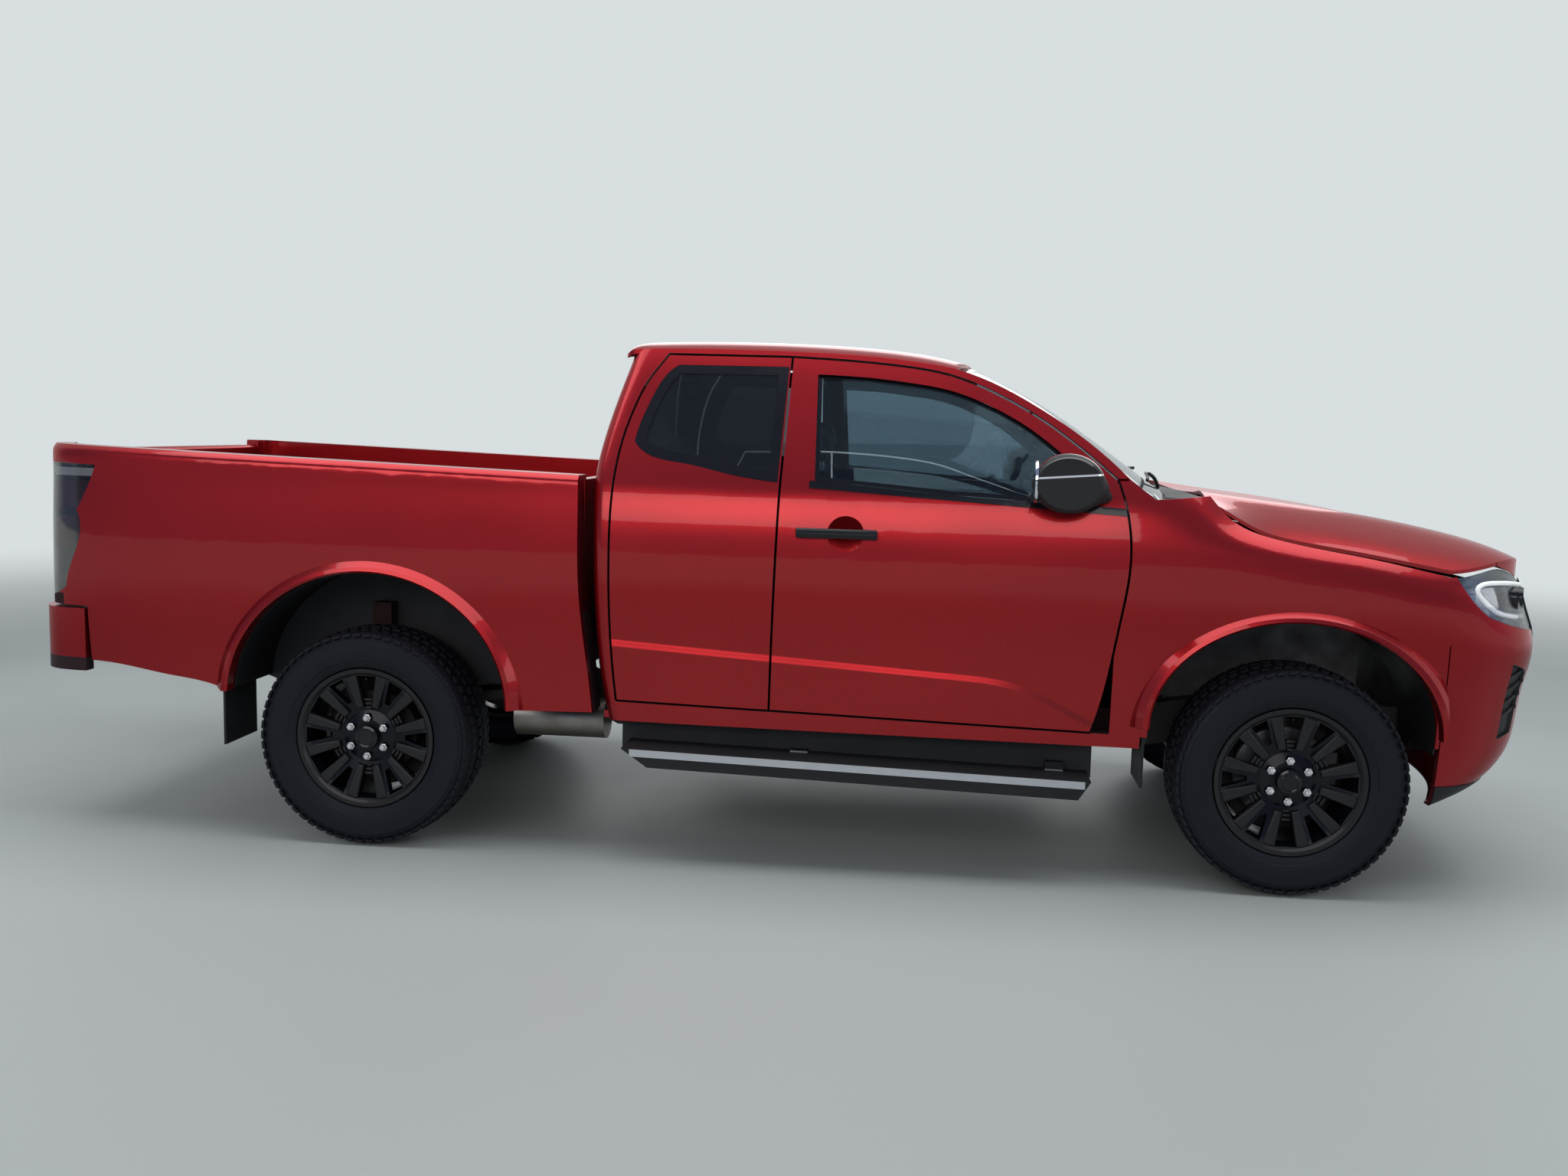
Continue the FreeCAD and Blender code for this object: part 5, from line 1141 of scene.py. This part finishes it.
def makeVent(y, z):
    wide, high = dash["ventHalf"]
    near, far = dash["ventReach"]
    rim = pressedBlock("ventRim", ((near, y - wide, z - high), (far, y + wide, z + high)),
                       (-1, 0, 0), 0.007, -0.010, 0.002, steps=2)
    near, far = dash["slatReach"]
    half = dash["slatHalf"]
    slats = [block("slat", (near, y - half, z + lift), (far, y + half, z + lift + dash["slatThick"]),
                   edge=0.0008) for lift in dash["slatLifts"]]
    return [rim] + slats


def makeDashFittings():
    parts = []
    for y, z in dash["vents"]:
        parts += makeVent(y, z)
    hood = pressedBlock("hood", dash["hood"], (-1, 0, 0), 0.014, -0.045, 0.012, steps=4)
    stack = pressedBlock("stack", dash["stack"], (-1, 0, 0), 0.010, -0.004, 0.006)
    glove = block("glove", *dash["glove"], edge=0.006)
    setPiece(joinAll(parts + [hood, stack, glove], "dashFittings"), "body", "trim_plastic")
    screen = block("centreScreen", *dash["screen"], edge=0.005, steps=3)
    cluster = block("cluster", *dash["cluster"], edge=0.002)
    setPiece(joinAll([screen, cluster], "dashScreens"), "body", "screenGlass")
    knobs = [turned("knob", dash["knob"], at, steps=32, axis=(1, 0, 0)) for at in dash["knobsAt"]]
    setPiece(joinAll(knobs, "dashKnobs"), "body", "brightTrim")


# controls: steering-wheel pad, stalks, gear lever, pedals and rear-view mirror

controls = {
    "wheelCentre": (0.710, 0.365, 1.136), "column": (-0.9062, 0, 0.4229),
    "wheelPad": [(0, 0.040), (0.035, 0.039), (0.056, 0.034), (0.068, 0.022), (0.070, 0.006), (0.064, -0.004),
                 (0, -0.004)],
    "stalk": [(0.808, 0.030, 1.090), (0.800, 0.100, 1.105), (0.790, 0.172, 1.122)],  # y from the column
    "leverAxis": (-0.12, 0, 1),
    "lever": [
        ("boot", (0.790, 0, 0.699), 40, [(0, 0), (0.055, 0), (0.050, 0.010), (0.038, 0.030), (0.024, 0.052),
                                         (0.012, 0.070), (0, 0.070)]),
        ("rod", (0.788, 0, 0.735), 24, [(0, 0), (0.007, 0), (0.007, 0.16), (0, 0.16)]),
        ("knob", (0.770, 0, 0.880), 32, [(0, 0), (0.014, 0), (0.021, 0.016), (0.024, 0.036), (0.020, 0.052),
                                         (0.010, 0.058), (0, 0.059)]),
    ],
    "pedals": [(0.440, 0.050), (0.360, 0.060), (0.280, 0.045)],  # y and width
    "pedalPlate": ((1.075, 0.640), (1.087, 0.720)),
    "pedalArm": [(1.087, 0.700), (1.110, 0.790), (1.150, 0.880)],
    "mirror": ((0.868, -0.120, 1.500), (0.896, 0.120, 1.562)),
    "mirrorGlass": ((0.8655, -0.112, 1.507), (0.8700, 0.112, 1.555)),
    "mirrorStem": [(0.890, 0, 1.545), (0.915, 0, 1.572), (0.930, 0, 1.600)],
}


def makePedal(y, wide):
    (xNear, zLow), (xFar, zHigh) = controls["pedalPlate"]
    plate = block("pedal", (xNear, y - wide / 2, zLow), (xFar, y + wide / 2, zHigh), edge=0.003)
    return [plate, tube("arm", [(x, y, z) for x, z in controls["pedalArm"]], 0.007)]


def makeControls():
    pad = turned("wheelPad", controls["wheelPad"], controls["wheelCentre"], steps=64, axis=controls["column"])
    setPiece(pad, "driver_wheel", "trim_plastic")
    middle = controls["wheelCentre"][1]
    stalks = [tube("stalk", [(x, middle + y * side, z) for x, y, z in controls["stalk"]], 0.0075)
              for side in (-1, 1)]
    setPiece(joinAll(stalks, "stalks"), "body", "trim_plastic")
    lever = [turned(name, profile, at, steps=steps, axis=controls["leverAxis"])
             for name, at, steps, profile in controls["lever"]]
    setPiece(joinAll(lever, "gearLever"), "body", "trim_plastic")
    pedals = []
    for y, wide in controls["pedals"]:
        pedals += makePedal(y, wide)
    setPiece(joinAll(pedals, "pedals"), "body", "dark_plastic")
    shell = block("rearViewMirror", *controls["mirror"], edge=0.012, steps=3)
    stem = tube("stem", controls["mirrorStem"], 0.007)
    setPiece(joinAll([shell, stem], "rearViewMirror"), "body", "trim_plastic")
    setPiece(block("rearViewGlass", *controls["mirrorGlass"], edge=0.002), "body", "mirrorGlass")


# door cards; the front ones have an armrest, a pocket, a speaker cover and a pull

doorCard = {
    "front": ((0.100, -0.7900, 0.600), (1.040, -0.7800, 1.215)),
    "rear": ((-0.420, -0.7880, 0.620), (-0.045, -0.7790, 1.215)),
    "field": ((0, 1, 0), 0.050, 0.006, 0.003),  # facing, inset, depth and edge
    "rest": ((0.300, -0.786, 0.900), (0.790, -0.722, 0.948)),
    "pocket": ((0.180, -0.786, 0.620), (0.860, -0.742, 0.740)),
    "speakerAt": (0.940, -0.776, 0.700),
    "speaker": [(0, 0.016), (0.055, 0.014), (0.066, 0.011), (0.072, 0.0), (0, 0.0)],
    "pull": ((0.820, -0.780, 1.030), (0.900, -0.764, 1.052)),
}


def makeDoorCards():
    card = pressedBlock("doorCardFrontRight", doorCard["front"], *doorCard["field"])
    rest = block("rest", *doorCard["rest"], edge=0.014, steps=4)
    pocket = block("pocket", *doorCard["pocket"], edge=0.012, steps=3)
    speaker = turned("speaker", doorCard["speaker"], doorCard["speakerAt"], steps=48)
    whole = joinAll([card, rest, pocket, speaker], "doorCardFrontRight")
    setPair(whole, "door_front_right", "trim_plastic")
    pull = block("doorPullRight", *doorCard["pull"], edge=0.005, steps=3)
    setPair(pull, "door_front_right", "brightTrim")
    card = pressedBlock("doorCardRearRight", doorCard["rear"], *doorCard["field"])
    setPair(card, "door_rear_right", "trim_plastic")


makeDashFittings()
makeControls()
makeDoorCards()
print("cab fitted out")


# the stage: a pale floor that turns into the wall's colour, and a room that is dimmer behind the camera

stage = {
    "floor": (0.47, 0.515, 0.52), "floorShade": 0.96, "floorSize": 80.0, "fade": (5.5, 13.0),
    "wall": (0.69, 0.735, 0.745), "room": (0.20, 0.25, 0.38), "turn": (-0.35, 0.15),
    "sky": (0.93, 0.97, 1.0), "ambient": 0.18,
}


def anySeen(tree, rays):
    # 1 where the camera sees the surface, straight, in a mirror or through glass
    seen = mathNode(tree, "MAXIMUM", rays.outputs["Is Camera Ray"], rays.outputs["Is Transmission Ray"])
    return mathNode(tree, "MAXIMUM", seen, rays.outputs["Is Glossy Ray"])


def makeFloor():
    clearSelection()
    bpy.ops.mesh.primitive_circle_add(vertices=96, radius=stage["floorSize"], fill_type="NGON")
    floor = bpy.context.object
    floor.name = "studioFloor"
    finish = makeFinish("studioFloor", {
        "colour": stage["floor"], "shade": tuple(c * stage["floorShade"] for c in stage["floor"]),
        "rough": (0.42, 0.55), "patch": 0.6, "grain": (60.0, 0.0003), "bump": 0.1,
    })
    # far from the truck the floor takes the wall's colour, so that no line shows between them
    tree = finish.node_tree
    place = addNode(tree, "TexCoord", {})
    apart = vectorNode(tree, "LENGTH", place.outputs["Object"])
    near, far = stage["fade"]
    fade = addNode(tree, "MapRange", {"Value": apart.outputs["Value"], "From Min": near, "From Max": far},
                   interpolation_type="SMOOTHSTEP")
    seen = anySeen(tree, addNode(tree, "LightPath", {}))
    share = mathNode(tree, "MULTIPLY", fade.outputs["Result"], seen)
    glow = addNode(tree, "Emission", {"Color": stage["wall"]})
    blend = addNode(tree, "MixShader", {0: share, 1: tree.nodes["Principled BSDF"].outputs[0],
                                        2: glow.outputs[0]})
    tree.links.new(blend.outputs[0], tree.nodes["Material Output"].inputs["Surface"])
    floor.data.materials.append(finish)


def makeRoom():
    # the pale wall stands behind the truck; the rest of the room is dimmer
    world = bpy.data.worlds.new("studio")
    bpy.context.scene.world = world
    world.use_nodes = True
    tree = world.node_tree
    place = addNode(tree, "TexCoord", {})
    axes = addNode(tree, "SeparateXYZ", {0: place.outputs["Generated"]})
    near, far = stage["turn"]
    turn = addNode(tree, "MapRange", {"Value": axes.outputs["Y"], "From Min": near, "From Max": far},
                   interpolation_type="SMOOTHSTEP")
    rays = addNode(tree, "LightPath", {})
    behind = mathNode(tree, "MAXIMUM", turn.outputs["Result"], rays.outputs["Is Camera Ray"])
    shown = tree.nodes["Background"]
    shown.inputs["Strength"].default_value = 1.0
    tree.links.new(mixColour(tree, behind, stage["room"], stage["wall"]), shown.inputs["Color"])
    lighting = addNode(tree, "Background", {"Color": stage["sky"], "Strength": stage["ambient"]})
    choose = addNode(tree, "MixShader", {0: anySeen(tree, rays), 1: lighting.outputs[0], 2: shown.outputs[0]})
    tree.links.new(choose.outputs[0], tree.nodes["World Output"].inputs["Surface"])


lamps = {  # place, aim, size, power and colour
    "topSoftbox": ((0.2, -0.6, 5.2), (0.2, 0, 0.8), (9.0, 4.0), 270, (1, 1, 1)),
    "sideSoftbox": ((-1.5, -7.5, 3.4), (0, 0, 0.9), (8.0, 2.2), 150, (1.0, 0.97, 0.93)),
    "backSoftbox": ((0.5, 7.5, 3.6), (0, 0, 1.0), (8.0, 2.4), 90, (1, 1, 1)),
    "noseSoftbox": ((8.0, -2.5, 3.0), (1.5, 0, 0.9), (3.0, 3.0), 60, (1, 1, 1)),
}


def makeLamp(name, at, aim, size, power, colour):
    clearSelection()
    bpy.ops.object.light_add(type="AREA", location=at)
    lamp = bpy.context.object
    lamp.name = name
    lamp.data.shape = "RECTANGLE"
    lamp.data.size, lamp.data.size_y = size
    lamp.data.energy = power
    lamp.data.color = colour
    lamp.rotation_euler = (Vector(aim) - Vector(at)).to_track_quat("-Z", "Y").to_euler()


# where the photograph was taken from; focal and width are in its pixels, angles in radians
photoCamera = {"at": (0.539, -5.533, 1.488), "yaw": -0.1024, "pitch": -0.1131, "roll": 0.0245,
               "focal": 1841.3, "width": 2048, "sensor": 36, "reach": 300}


def makeCamera():
    yaw, pitch, roll = photoCamera["yaw"], photoCamera["pitch"], photoCamera["roll"]
    ahead = Vector((math.sin(yaw) * math.cos(pitch), math.cos(yaw) * math.cos(pitch), math.sin(pitch)))
    level = Vector((math.cos(yaw), -math.sin(yaw), 0))
    upright = level.cross(ahead)
    right = math.cos(roll) * level + math.sin(roll) * upright
    up = math.cos(roll) * upright - math.sin(roll) * level
    clearSelection()
    bpy.ops.object.camera_add()
    camera = bpy.context.object
    camera.name = "photoCamera"
    camera.data.sensor_width = photoCamera["sensor"]
    camera.data.lens = photoCamera["sensor"] * photoCamera["focal"] / photoCamera["width"]
    camera.data.clip_end = photoCamera["reach"]
    turn = Matrix((right, up, -ahead)).transposed()
    camera.matrix_world = Matrix.Translation(photoCamera["at"]) @ turn.to_4x4()
    bpy.context.scene.camera = camera


makeFloor()
makeRoom()
for name, settings in lamps.items():
    makeLamp(name, *settings)
makeCamera()
bpy.context.scene.view_settings.view_transform = "Standard"
clearSelection()
print("stage, lamps and camera set")
